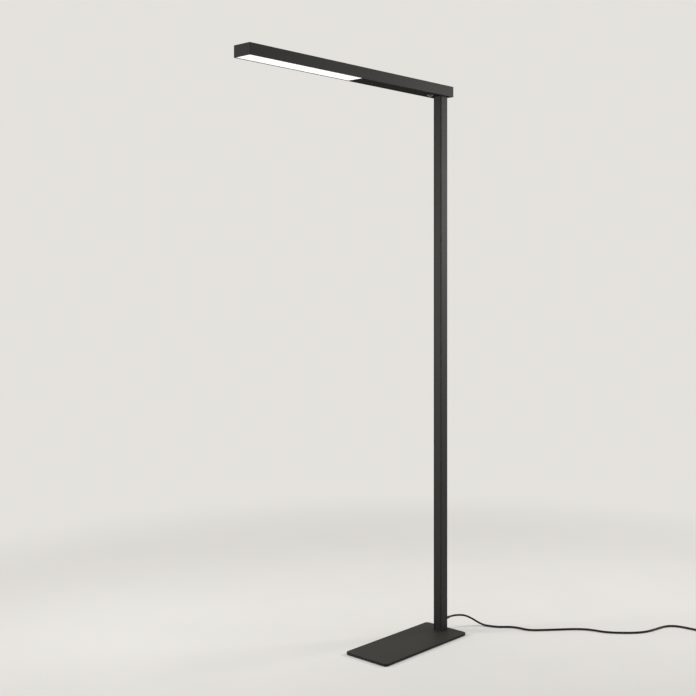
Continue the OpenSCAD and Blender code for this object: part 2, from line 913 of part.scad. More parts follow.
module mains_wires() {
    color("sienna") {
        for (pole = [0, 1])
            tube(
                concat(
                    past_switch(1, terminal_y + 6, 1.5 - 3 * pole),
                    [[terminal_x1 + 4, terminal_y + pole * terminal_pole, cable_z],
                     [terminal_x1 - 5, terminal_y + pole * terminal_pole, cable_z]]
                ),
                wire_d, 6
            );
        for (pole = [0, 1])
            tube(
                [[terminal_x0 + 5, terminal_y + pole * terminal_pole, cable_z],
                 [terminal_x0 - 6, terminal_y + pole * terminal_pole, cable_z],
                 [driver_x1 + 8, 3 + pole * terminal_pole, cable_z],
                 [driver_x1 + 0.2, 3 + pole * terminal_pole, cable_z]],
                wire_d, 6
            );
        tube(
            concat(
                past_switch(-1, 11, 0),
                [[lug_x + lug_r + lug_tail + 3, lug_y + 1, web_z - wire_d],
                 [lug_x + lug_r + lug_tail + 0.2, lug_y, web_z - wire_d / 2 - 0.1]]
            ),
            wire_d, 6
        );
    }
}

module downlight_wires() {
    color("firebrick")
        for (side = [-1, 1])
            let (y = wire_side + side * wire_apart, tray_z = web_z - board_t - down_wire_drop)
                tube(
                    [[driver_x0 - 0.2, y, web_z - driver_h / 2],
                     [driver_x0 - 14, y, web_z - driver_h / 2],
                     [down_tray_x1 + 14, y, tray_z - 1],
                     [down_tray_x1 + 4, y, tray_z],
                     [down_board_x1 + 2, y, tray_z],
                     [down_board_x1 - 4, y, web_z - board_t - wire_d / 2 - 0.1]],
                    wire_d, 6
                );
}

module uplight_wires() {
    color("goldenrod")
        for (side = [-1, 1])
            let (y = -wire_side + side * wire_apart)
                tube(
                    [[driver_x0 - 0.2, y, web_z - driver_h / 2],
                     [driver_x0 - 16, y, web_z - driver_h / 2],
                     [up_wire_x + 12, y, web_z - 8],
                     [up_wire_x + 2, y, web_z - 5],
                     [up_wire_x, y, web_z - 1],
                     [up_wire_x, y, web_top + 1],
                     [up_wire_x + 2, y, web_top + board_t + 2],
                     [up_board_x0 + 6, y, web_top + board_t + wire_d / 2 + 0.1]],
                    wire_d, 6
                );
}

module dimmer_wires() {
    color("slategray")
        for (k = [0, 1])
            tube(
                [[-dimmer_x - pin_r - 0.1, 6 * k - 3, switch_top + 1.1],
                 [-dimmer_x - 7, 5 * k - 6, switch_top + 0.5],
                 [-dimmer_x - 20, 3 * k - 9.5, web_z - 4],
                 [terminal_x0 + 10, 2.5 * k - 11.5, web_z - 5],
                 [driver_x1 + 10, 2.5 * k - 14, web_z - 6],
                 [driver_x1 + 0.2, 2.5 * k - 14, web_z - 6]],
                dimmer_wire_d, 6
            );
}

// ---------- Strain relief, cord, coil and plug ----------

module strain_relief() {
    color([0.1, 0.1, 0.1])
        translate([0, 0, outlet_z])
            difference() {
                union() {
                    rod_x(post_inner - relief_collar_t, post_inner, relief_flange_r, relief_flange_r);
                    rod_x(post_inner - cut, post_w / 2 + cut, outlet_r, outlet_r);
                    rod_x(post_w / 2, post_w / 2 + relief_flange_t, relief_flange_r, relief_flange_r - 0.8);
                    rod_x(post_w / 2 + relief_flange_t, relief_tip_x, relief_root_r, relief_tip_r);
                }
                rod_x(post_inner - relief_collar_t - cut, relief_tip_x + cut, relief_bore_r, relief_bore_r);
            }
}

// The coil spirals in on the floor, climbs a layer in the half turn where it reverses, and spirals out
coil_total = 360 * coil_turns;
function climb(a) = let (t = min(max((a - coil_total / 2 + 90) / 180, 0), 1)) t * t * (3 - 2 * t);
function coil_point(a) =
    let (r = coil_end_r + coil_pitch * abs(a - coil_total / 2) / 360, turn = coil_first + a)
        [coil_x + r * cos(turn), coil_y + r * sin(turn), coil_low_z + climb(a) * (coil_high_z - coil_low_z)];
coil_ring = [for (a = [0:360 / coil_steps:coil_total]) coil_point(a)];
coil_in = coil_ring[0] + [0, cord_d, 0];
coil_out = coil_ring[len(coil_ring) - 1] + [cord_d, 0, 0];
coil_route = concat([coil_in], coil_ring, [coil_out]);

// The free stretches leave and arrive straight, and are smooth curves in between
relief_tip = [relief_tip_x, 0, outlet_z];
free_curve = smooth(concat([relief_tip + [cord_d, 0, 0]], cord_route, [coil_in + [0, cord_d, 0]]));
free_route = concat([relief_tip], [for (p = free_curve) [p.x, p.y, max(p.z, floor_z)]], [coil_in]);
tail_route = concat(
    [coil_out],
    smooth([
        coil_out + [cord_d, 0, 0],
        [coil_x + 36, plug_y, coil_high_z + 0.5],
        [coil_x + 58, plug_y, coil_high_z + 4],
        [plug_x - cord_d, plug_y, plug_z]
    ]),
    [[plug_x, plug_y, plug_z]]
);

least_coil_gap = min([
    for (i = [0:len(coil_ring) - 1])
        for (j = [i + coil_steps / 2:len(coil_ring) - 1])
            norm(coil_ring[i] - coil_ring[j])
]) - cord_d;
echo("least gap between the coil's turns, mm", least_coil_gap);
echo("length of the free cord, the coil and the tail, mm",
    route_length(free_route), route_length(coil_route), route_length(tail_route));

module mains_cord() {
    color([0.1, 0.1, 0.1]) tube(free_route, cord_d, cord_sides);
}

module cord_coil() {
    color([0.1, 0.1, 0.1]) tube(coil_route, cord_d, coil_sides);
}

module cord_tail() {
    color([0.1, 0.1, 0.1]) tube(tail_route, cord_d, cord_sides);
}

module coil_tie() {
    inner = coil_end_r - cord_d / 2 - 1;
    outer = coil_start_r + cord_d / 2 + 0.4;
    top = coil_high_z + cord_d / 2 + 0.3;
    color("dimgray")
        translate([coil_x, coil_y, 0])
            rotate([0, 0, tie_angle])
                translate([0, tie_w / 2, 0])
                    rotate([90, 0, 0])
                        linear_extrude(tie_w)
                            difference() {
                                translate([inner - tie_t, 0]) square([outer - inner + 2 * tie_t, top + tie_t]);
                                translate([inner, tie_t]) square([outer - inner, top - tie_t]);
                            }
}

module plug_body() {
    color([0.12, 0.12, 0.12])
        translate([0, plug_y, plug_z])
            difference() {
                union() {
                    rod_x(plug_x, plug_x + plug_neck_l, plug_neck_tip_r, plug_neck_r);
                    rod_x(plug_x + plug_neck_l, plug_head_x, plug_grip_r, plug_r - 2);
                    rod_x(plug_head_x, plug_face_x, plug_r, plug_r);
                }
                for (side = [-1, 1]) {
                    translate([0, side * plug_pin_y, 0])
                        rod_x(plug_face_x - plug_pin_in, plug_face_x + cut, plug_pin_r + 0.1, plug_pin_r + 0.1);
                    translate([plug_face_x - clip_l - 1, -groove_w / 2, side * plug_r - (side + 1) / 2 * groove_d])
                        cube([clip_l + 1 + cut, groove_w, groove_d]);
                }
            }
}

module plug_pins() {
    color(bright)
        for (side = [-1, 1])
            translate([0, plug_y + side * plug_pin_y, plug_z]) {
                rod_x(plug_face_x - plug_pin_in, plug_face_x + plug_pin_l - 1.5, plug_pin_r, plug_pin_r);
                rod_x(plug_face_x + plug_pin_l - 1.5, plug_face_x + plug_pin_l, plug_pin_r, 1.2);
            }
}

module plug_earth_clips() {
    color(copper)
        for (side = [-1, 1])
            translate([plug_face_x - clip_l, plug_y - clip_w / 2, plug_z + side * (plug_r - groove_d + clip_t / 2) - clip_t / 2])
                cube([clip_l - 0.5, clip_w, clip_t]);
}

// ---------- The lamp ----------

base_plate();
base_mat();
base_screws();
post_channel();
post_cover_strip();
mount_block();
mount_screws();
head_profile();
front_end_cap();
rear_end_cap();
downlight_diffuser();
downlight_reflector();
downlight_board();
downlight_leds();
uplight_diffuser();
uplight_reflector();
uplight_board();
uplight_leds();
board_screws();
front_top_cover();
rear_top_cover();
underside_cover();
led_driver();
driver_screws();
terminal_block();
cable_clamp();
clamp_screws();
earth_lug();
earth_screw();
dimmer_bezel();
dimmer_nut();
dimmer_button();
dimmer_spring();
dimmer_switch();
inner_cable();
mains_wires();
downlight_wires();
uplight_wires();
dimmer_wires();
strain_relief();
mains_cord();
cord_coil();
cord_tail();
coil_tie();
plug_body();
plug_pins();
plug_earth_clips();
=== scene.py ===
"""Office floor lamp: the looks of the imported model, in metres and in the model's own frame.

The origin is on the floor, on the axis of the post. The head reaches towards -X, and the mains cord
leaves towards +X. Pieces that need softened edges or turned shapes are modelled anew and stand for their
nodes, and every other node keeps its mesh and gets its finish.
"""

import json
import logging
import math
from abc import ABC, abstractmethod
from collections.abc import Callable, Iterable, Iterator, Sequence
from contextlib import contextmanager
from dataclasses import dataclass
from enum import Enum
from typing import ClassVar

import bmesh
import bpy
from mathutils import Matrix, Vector


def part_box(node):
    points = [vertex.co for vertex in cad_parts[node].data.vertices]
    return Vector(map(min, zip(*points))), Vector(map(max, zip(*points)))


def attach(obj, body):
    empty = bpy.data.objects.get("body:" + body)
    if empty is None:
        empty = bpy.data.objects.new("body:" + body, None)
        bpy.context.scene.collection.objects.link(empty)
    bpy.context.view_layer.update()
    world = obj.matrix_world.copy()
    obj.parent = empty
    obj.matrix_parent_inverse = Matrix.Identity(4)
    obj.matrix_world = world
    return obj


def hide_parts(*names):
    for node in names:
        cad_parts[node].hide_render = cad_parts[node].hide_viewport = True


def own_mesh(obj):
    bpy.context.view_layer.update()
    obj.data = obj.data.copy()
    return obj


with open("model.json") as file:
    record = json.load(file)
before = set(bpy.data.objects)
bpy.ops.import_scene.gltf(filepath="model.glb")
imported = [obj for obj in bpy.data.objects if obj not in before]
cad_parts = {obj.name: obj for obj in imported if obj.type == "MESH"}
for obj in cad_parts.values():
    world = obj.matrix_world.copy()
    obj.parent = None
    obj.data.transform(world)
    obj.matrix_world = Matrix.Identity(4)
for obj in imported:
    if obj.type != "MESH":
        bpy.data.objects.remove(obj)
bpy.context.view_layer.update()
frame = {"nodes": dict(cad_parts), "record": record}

LAMP = "lamp"
BUTTON = "button"
MM = 0.001
log = logging.getLogger("floor_lamp")

Colour = tuple[float, float, float]
Outline = list[tuple[float, float]]
Test = Callable[[Vector, Vector], bool]
Socket = bpy.types.NodeSocket


# ---------- Finishes ----------


class Graph:
    """The node graph of a material or of the world."""

    def __init__(self, owner: bpy.types.ID) -> None:
        """Starts on the few nodes that a material or world has from the outset."""
        owner.use_nodes = True
        self.tree = owner.node_tree

    def find(self, kind: str) -> bpy.types.Node:
        """The node of a kind that was there from the outset."""
        return next(node for node in self.tree.nodes if node.type.startswith(kind))

    def show(self, shader: Socket) -> None:
        """Makes a shader what the surface shows."""
        self.feed(self.find("OUTPUT").inputs["Surface"], shader)

    def node(self, kind: str, **inputs: object) -> bpy.types.Node:
        """Adds a node and sets the inputs that are named by their labels, with _ for a space.

        Args:
            kind: The node's type.
            **inputs: Its inputs' values, or the sockets that feed them.

        Returns:
            The node.
        """
        made = self.tree.nodes.new(kind)
        self.fill(made, inputs)
        return made

    def fill(self, made: bpy.types.Node, inputs: dict[str, object]) -> None:
        """Sets a node's inputs by their labels, with _ for a space."""
        for label, value in inputs.items():
            self.feed(made.inputs[label.replace("_", " ")], value)

    def feed(self, socket: Socket, value: object) -> None:
        """Links a socket to the input, or sets the input's own value.

        Args:
            socket: The input.
            value: A value, or the socket that feeds it.
        """
        if isinstance(value, Socket):
            self.tree.links.new(value, socket)
        else:
            socket.default_value = value

    def sum(self, operation: str, *numbers: object) -> Socket:
        """One sum on numbers or sockets.

        Args:
            operation: The sum's name.
            *numbers: What it is done with.

        Returns:
            The socket of the result.
        """
        made = self.tree.nodes.new("ShaderNodeMath")
        made.operation = operation
        for socket, value in zip(made.inputs, numbers):
            self.feed(socket, value)
        return made.outputs[0]

    def mix(self, share: Socket, below: Socket, above: Socket) -> Socket:
        """One shader that turns into another as the share goes from 0 to 1.

        Args:
            share: How much of the second shader shows.
            below: The first shader.
            above: The second shader.

        Returns:
            The socket of the mixed shader.
        """
        made = self.tree.nodes.new("ShaderNodeMixShader")
        for socket, value in zip(made.inputs, (share, below, above)):
            self.feed(socket, value)
        return made.outputs[0]

    def seen(self) -> Socket:
        """1 for the rays that show the background: the camera's, a reflection's and glass's.

        Returns:
            The socket of the value.
        """
        path = self.node("ShaderNodeLightPath").outputs
        bounced = self.sum("MAXIMUM", path["Is Glossy Ray"], path["Is Transmission Ray"])
        return self.sum("MAXIMUM", path["Is Camera Ray"], bounced)


class Surface(Graph):
    """The node graph of one finish, built round its Principled shader."""

    def __init__(self, name: str) -> None:
        """Starts a material of that name with an empty surface."""
        self.material = bpy.data.materials.new(name)
        super().__init__(self.material)
        self.shader = self.find("BSDF_PRINCIPLED")

    def set(self, **inputs: object) -> None:
        """Sets the shader's own inputs, named by their labels with _ for a space."""
        self.fill(self.shader, inputs)

    def place(self, stretch: Sequence[float] = (1, 1, 1)) -> Socket:
        """The point on the piece, with each coordinate made a number of times larger."""
        point = self.node("ShaderNodeTexCoord").outputs["Object"]
        return self.node("ShaderNodeMapping", Vector=point, Scale=tuple(stretch)).outputs[0]

    def noise(self, scale: float, detail: float = 2, rough: float = 0.5, at: Socket | None = None) -> Socket:
        """Fractal noise, whose grain is about 1/scale metres where the point isn't stretched."""
        made = self.node(
            "ShaderNodeTexNoise", Vector=at or self.place(), Scale=scale, Detail=detail, Roughness=rough
        )
        return made.outputs["Fac"]

    def cells(self, scale: float) -> Socket:
        """Distance to the nearest cell centre, for pebbled and dimpled faces."""
        return self.node("ShaderNodeTexVoronoi", Vector=self.place(), Scale=scale).outputs["Distance"]

    def between(self, source: Socket, low: float, high: float) -> Socket:
        """Turns a value from 0 to 1 into one from low to high."""
        return self.node("ShaderNodeMapRange", Value=source, To_Min=low, To_Max=high).outputs[0]

    def tint(self, source: Socket, stops: Sequence[tuple[float, Colour]]) -> Socket:
        """Turns a value into a colour.

        Args:
            source: The value, from 0 to 1.
            stops: The colours that it passes through, each after its place.

        Returns:
            The socket of the colour.
        """
        made = self.node("ShaderNodeValToRGB", Fac=source)
        ramp = made.color_ramp
        while len(ramp.elements) < len(stops):
            ramp.elements.new(0.5)
        for element, (at, colour) in zip(ramp.elements, stops):
            element.position = at
            element.color = (*colour, 1)
        return made.outputs[0]

    def axes(self) -> tuple[Socket, ...]:
        """The three coordinates of the point, in metres."""
        return tuple(self.node("ShaderNodeSeparateXYZ", Vector=self.place()).outputs)

    def away(self, centre: Sequence[float]) -> Socket:
        """The distance from an upright axis, in metres."""
        parts = [self.sum("SUBTRACT", axis, at) for axis, at in zip(self.axes(), centre)]
        return self.sum("SQRT", self.sum("ADD", *(self.sum("POWER", part, 2.0) for part in parts)))

    def wave(self, source: Socket, pitch: float) -> Socket:
        """A wave from -1 to 1 that comes back after each pitch of the source."""
        return self.sum("SINE", self.sum("MULTIPLY", source, 2 * math.pi / pitch))

    def bump(self, height: Socket, depth: float, onto: Socket | None = None) -> Socket:
        """Raises the surface by the height, up to a depth in metres.

        Args:
            height: The height, from 0 to 1.
            depth: The depth, in metres.
            onto: The normal that it is added to.

        Returns:
            The socket of the normal.
        """
        made = self.node("ShaderNodeBump", Height=height, Distance=depth)
        if onto is not None:
            self.feed(made.inputs["Normal"], onto)
        return made.outputs[0]

    def shade(self, colour: Colour, change: float, source: Socket) -> Socket:
        """The colour, made darker and lighter by the share given as the source goes from 0 to 1.

        Args:
            colour: The colour in the middle.
            change: The share by which it gets darker or lighter.
            source: A value from 0 to 1.

        Returns:
            The socket of the colour.
        """
        low = tuple(c * (1 - change) for c in colour)
        high = tuple(min(1, c * (1 + change)) for c in colour)
        return self.tint(source, [(0.3, low), (0.7, high)])


@dataclass(frozen=True)
class Finish(ABC):
    """How a kind of surface looks."""

    made: ClassVar[dict["Finish", bpy.types.Material]] = {}
    name: str
    colour: Colour

    @abstractmethod
    def dress(self, graph: Surface) -> None:
        """Fills in the graph of the finish."""

    def material(self) -> bpy.types.Material:
        """The finish as a material, built once.

        Returns:
            The material.
        """
        if self not in Finish.made:
            graph = Surface(self.name)
            self.dress(graph)
            Finish.made[self] = graph.material
        return Finish.made[self]


@dataclass(frozen=True)
class PowderCoat(Finish):
    """Matt powder paint, with a fine sanded grain on a soft orange peel."""

    roughness: float
    grain: float
    shine: float

    def dress(self, graph: Surface) -> None:
        """Fine grain, orange peel, and a faint cloud of handling in colour and gloss."""
        cloud = graph.noise(7, 4, 0.6)
        fleck = graph.noise(2600, 1)
        graph.set(
            Base_Color=graph.shade(self.colour, 0.16, graph.sum("MULTIPLY_ADD", cloud, 0.5, 0.5)),
            Roughness=graph.between(graph.sum("ADD", cloud, fleck), self.roughness - 0.08, self.roughness),
            Specular_IOR_Level=self.shine,
        )
        peel = graph.bump(graph.noise(420, 2), 0.00006)
        graph.set(Normal=graph.bump(graph.noise(1500, 2, 0.6), self.grain, peel))


@dataclass(frozen=True)
class LitOpal(Finish):
    """A frosted diffuser with the light on behind it."""

    glow: Colour
    strength: float

    def dress(self, graph: Surface) -> None:
        """A soft frosted face that gives an even light."""
        frost = graph.noise(1800, 2)
        graph.set(
            Base_Color=graph.shade(self.colour, 0.02, graph.noise(30, 2)),
            Roughness=graph.between(frost, 0.35, 0.5),
            Emission_Color=(*self.glow, 1),
            Emission_Strength=self.strength,
            Normal=graph.bump(graph.cells(700), 0.00008),
        )


@dataclass(frozen=True)
class TurnedMetal(Finish):
    """Plated metal with the fine rings that a lathe leaves round its axis."""

    centre: tuple[float, float]
    roughness: float
    ring_pitch: float = 0.25 * MM

    def dress(self, graph: Surface) -> None:
        """Rings by the distance from the axis, and a little tarnish."""
        ring = graph.wave(graph.away(self.centre), self.ring_pitch)
        tarnish = graph.noise(260, 4, 0.65)
        graph.set(
            Base_Color=graph.shade(self.colour, 0.07, tarnish),
            Metallic=1.0,
            Roughness=graph.between(tarnish, self.roughness - 0.05, self.roughness + 0.12),
            Normal=graph.bump(ring, 0.000004),
        )


@dataclass(frozen=True)
class PlatedMetal(Finish):
    """Zinc, nickel, copper or bare steel, with slight stains and handling marks."""

    roughness: float
    stretch: tuple[float, float, float] = (1, 1, 1)

    def dress(self, graph: Surface) -> None:
        """Stains in colour and gloss, and a fine brushed or tumbled grain."""
        stain = graph.noise(180, 4, 0.6)
        grain = graph.noise(1600, 3, 0.6, graph.place(self.stretch))
        blotch = graph.sum("MULTIPLY", stain, grain)
        graph.set(
            Base_Color=graph.shade(self.colour, 0.1, stain),
            Metallic=1.0,
            Roughness=graph.between(blotch, self.roughness, self.roughness + 0.3),
            Normal=graph.bump(grain, 0.00001),
        )


@dataclass(frozen=True)
class MouldedPlastic(Finish):
    """Injection-moulded plastic or rubber, with the spark-eroded grain of its mould."""

    roughness: float = 0.45
    grain: float = 0.03 * MM
    scale: float = 1400

    def dress(self, graph: Surface) -> None:
        """Mould grain, and a faint cloud in colour and gloss."""
        cloud = graph.noise(60, 3)
        graph.set(
            Base_Color=graph.shade(self.colour, 0.07, cloud),
            Roughness=graph.between(cloud, self.roughness - 0.06, self.roughness + 0.08),
            Normal=graph.bump(graph.noise(self.scale, 2, 0.6), self.grain),
        )


@dataclass(frozen=True)
class DimpledRubber(Finish):
    """The non-slip mat, with a field of small dimples."""

    dimples_per_metre: float = 330
    dimple_depth: float = 0.3 * MM

    def dress(self, graph: Surface) -> None:
        """The dimples and a dusty cloud."""
        dust = graph.noise(25, 5, 0.65)
        graph.set(
            Base_Color=graph.shade(self.colour, 0.3, dust),
            Roughness=graph.between(dust, 0.7, 0.9),
            Normal=graph.bump(graph.cells(self.dimples_per_metre), self.dimple_depth),
        )


@dataclass(frozen=True)
class Sheath(Finish):
    """The smooth sheath of a cable, slightly waxy."""

    roughness: float = 0.4
    shine: float = 0.2

    def dress(self, graph: Surface) -> None:
        """Faint lumps of the wires inside, a fine skin, and a little dust."""
        dust = graph.noise(35, 4, 0.6)
        lumps = graph.bump(graph.noise(110, 2), 0.00015)
        graph.set(
            Base_Color=graph.shade(self.colour, 0.25, dust),
            Roughness=graph.between(dust, self.roughness - 0.05, self.roughness + 0.15),
            Specular_IOR_Level=self.shine,
            Normal=graph.bump(graph.noise(1300, 2), 0.00002, lumps),
        )


@dataclass(frozen=True)
class WireSleeves(Finish):
    """Insulated wires that lie side by side, each in the colour of its place across the head."""

    others: tuple[tuple[float, Colour], ...]
    low: float
    high: float

    def dress(self, graph: Surface) -> None:
        """One colour for each wire, by its place along Y, from the first wire's at the low end."""
        y = graph.axes()[1]
        share = graph.node("ShaderNodeMapRange", Value=y, From_Min=self.low, From_Max=self.high).outputs[0]
        colour = graph.tint(share, [(0.0, self.colour), *self.others])
        colour.node.color_ramp.interpolation = "CONSTANT"
        grain = graph.noise(900, 2)
        graph.set(
            Base_Color=colour,
            Roughness=graph.between(grain, 0.35, 0.5),
            Normal=graph.bump(grain, 0.00002),
        )


@dataclass(frozen=True)
class SolderMask(Finish):
    """A white circuit board, whose tracks show faintly through its paint."""

    track: Colour
    track_width: float = 0.5 * MM
    track_length: float = 17 * MM
    track_pitch: float = 5 * MM

    def dress(self, graph: Surface) -> None:
        """Tracks under the paint, as bricks along the board."""
        made = graph.node(
            "ShaderNodeTexBrick",
            Vector=graph.place((1, 1, 0)),
            Color1=(*self.colour, 1),
            Color2=(*self.colour, 1),
            Mortar=(*self.track, 1),
            Scale=1.0,
            Mortar_Size=self.track_width,
            Brick_Width=self.track_length,
            Row_Height=self.track_pitch,
        )
        graph.set(
            Base_Color=made.outputs["Color"],
            Roughness=graph.between(graph.noise(600, 2), 0.3, 0.42),
            Normal=graph.bump(made.outputs["Fac"], 0.00003),
        )


@dataclass(frozen=True)
class Phosphor(Finish):
    """The yellow face of an LED, with the light on."""

    glow: Colour
    strength: float

    def dress(self, graph: Surface) -> None:
        """A grainy yellow gel that shines."""
        grain = graph.noise(2500, 2)
        graph.set(
            Base_Color=graph.shade(self.colour, 0.1, grain),
            Roughness=graph.between(grain, 0.25, 0.4),
            Emission_Color=(*self.glow, 1),
            Emission_Strength=self.strength,
            Normal=graph.bump(grain, 0.00002),
        )


@dataclass(frozen=True)
class WovenStrap(Finish):
    """A hook-and-loop strap: a fuzzy weave."""

    thread_pitch: float = 0.9 * MM

    def dress(self, graph: Surface) -> None:
        """Crossed threads with loose fibre over them."""
        weave = [graph.wave(axis, self.thread_pitch) for axis in graph.axes()]
        threads = graph.sum("MULTIPLY", graph.sum("ADD", weave[0], weave[1]), weave[2])
        fuzz = graph.noise(1900, 4, 0.7)
        under = graph.bump(threads, 0.00012)
        graph.set(
            Base_Color=graph.shade(self.colour, 0.35, fuzz),
            Roughness=graph.between(fuzz, 0.8, 0.95),
            Sheen_Weight=0.4,
            Sheen_Roughness=0.5,
            Normal=graph.bump(fuzz, 0.0002, under),
        )


# The finishes by material slot, with the few that a single node or a part of a piece takes instead.
# The underside cover gets a darker copy of the black coat: painted shade for the dim light under the head,
# with a lower sheen too.
UNDERSIDE_PAINTED_SHADE_COAT = PowderCoat("black powder coat, low sheen, painted shade", (0.009, 0.0088, 0.008), 0.85, 0.00003, 0.05)
WHITE_TRAY = MouldedPlastic("white reflector", (0.84, 0.84, 0.82), 0.35, 0.00001, 900)
SHEATH = Sheath("black sheath", (0.006, 0.006, 0.006))
LED = Phosphor("LED phosphor", (0.85, 0.66, 0.16), (1.0, 0.95, 0.8), 1.0)
SLOT_FINISH: dict[str, Finish] = {
    "base_steel": PowderCoat("black powder coat on steel", (0.018, 0.0175, 0.015), 0.64, 0.00004, 0.13),
    "black_aluminium": PowderCoat("black powder coat", (0.019, 0.0185, 0.017), 0.6, 0.00003, 0.18),
    "mat_rubber": DimpledRubber("non-slip rubber", (0.03, 0.03, 0.03)),
    "screw_steel": PlatedMetal("zinc plate", (0.56, 0.57, 0.6), 0.28),
    "bare_aluminium": PlatedMetal("milled aluminium", (0.74, 0.75, 0.76), 0.25, (0.15, 1, 1)),
    "opal_down": LitOpal("opal diffuser, down", (0.9, 0.9, 0.88), (1.0, 0.985, 0.95), 0.55),
    "opal_up": LitOpal("opal diffuser, up", (0.9, 0.9, 0.88), (1.0, 0.985, 0.95), 0.55),
    "white_plastic": MouldedPlastic("white housing", (0.8, 0.8, 0.78)),
    "circuit_board": SolderMask("white board", (0.82, 0.83, 0.81), (0.72, 0.74, 0.7)),
    "led": LED,
    "nickel": PlatedMetal("nickel plate", (0.72, 0.7, 0.66), 0.15),
    "black_nickel": TurnedMetal("brushed black nickel", (0.1, 0.1, 0.098), (-0.06, 0), 0.25),
    "spring_steel": PlatedMetal("spring steel", (0.5, 0.5, 0.51), 0.2),
    "black_plastic": MouldedPlastic("black plastic", (0.03, 0.03, 0.03)),
    "copper": PlatedMetal("tinned copper", (0.78, 0.5, 0.34), 0.25),
    "brown_wire": WireSleeves(
        "mains wires", (0.12, 0.42, 0.05), ((0.36, (0.23, 0.1, 0.045)), (0.68, (0.03, 0.1, 0.42))), -0.02, 0.02
    ),
    "red_wire": WireSleeves("down-light wires", (0.5, 0.03, 0.02), ((0.5, (0.02, 0.02, 0.02)),), 0.0, 0.012),
    "yellow_wire": WireSleeves("up-light wires", (0.02, 0.02, 0.02), ((0.5, (0.75, 0.5, 0.04)),), -0.012, 0.0),
    "grey_wire": WireSleeves("dimmer wires", (0.3, 0.3, 0.32), ((0.5, (0.7, 0.7, 0.7)),), -0.018, 0.006),
    "cord_black": SHEATH,
    "plug_black": MouldedPlastic("moulded plug", (0.022, 0.022, 0.022), 0.5, 0.00006, 1100),
    "tie_fabric": WovenStrap("woven strap", (0.035, 0.035, 0.037)),
}
NODE_FINISH: dict[str, Finish] = {
    "downlight_reflector": WHITE_TRAY,
    "uplight_reflector": WHITE_TRAY,
    # Painted shade: the underside cover takes the darker copy of the black coat.
    "underside_cover": UNDERSIDE_PAINTED_SHADE_COAT,
}
SLOTS: dict[str, str] = {row["node"]: row["material_slot"] for row in frame["record"]["subparts"]}


# ---------- Bench work ----------


class Axis(Enum):
    """An axis of the frame, as the direction along it."""

    X = (1, 0, 0)
    Y = (0, 1, 0)
    Z = (0, 0, 1)

    @property
    def index(self) -> int:
        """Its place in a vector."""
        return self.value.index(1)


class Pick(Enum):
    """What a test is put to in edit mode."""

    FACES = "FACE"
    EDGES = "EDGE"


# An edge that turns less than this counts as flat, faces that turn less than the next are shaded as one,
# and points that lie closer than the last are the same point.
FLAT_ANGLE = math.radians(12)
ROUND_ANGLE = math.radians(35)
SAME_POINT = 0.002 * MM


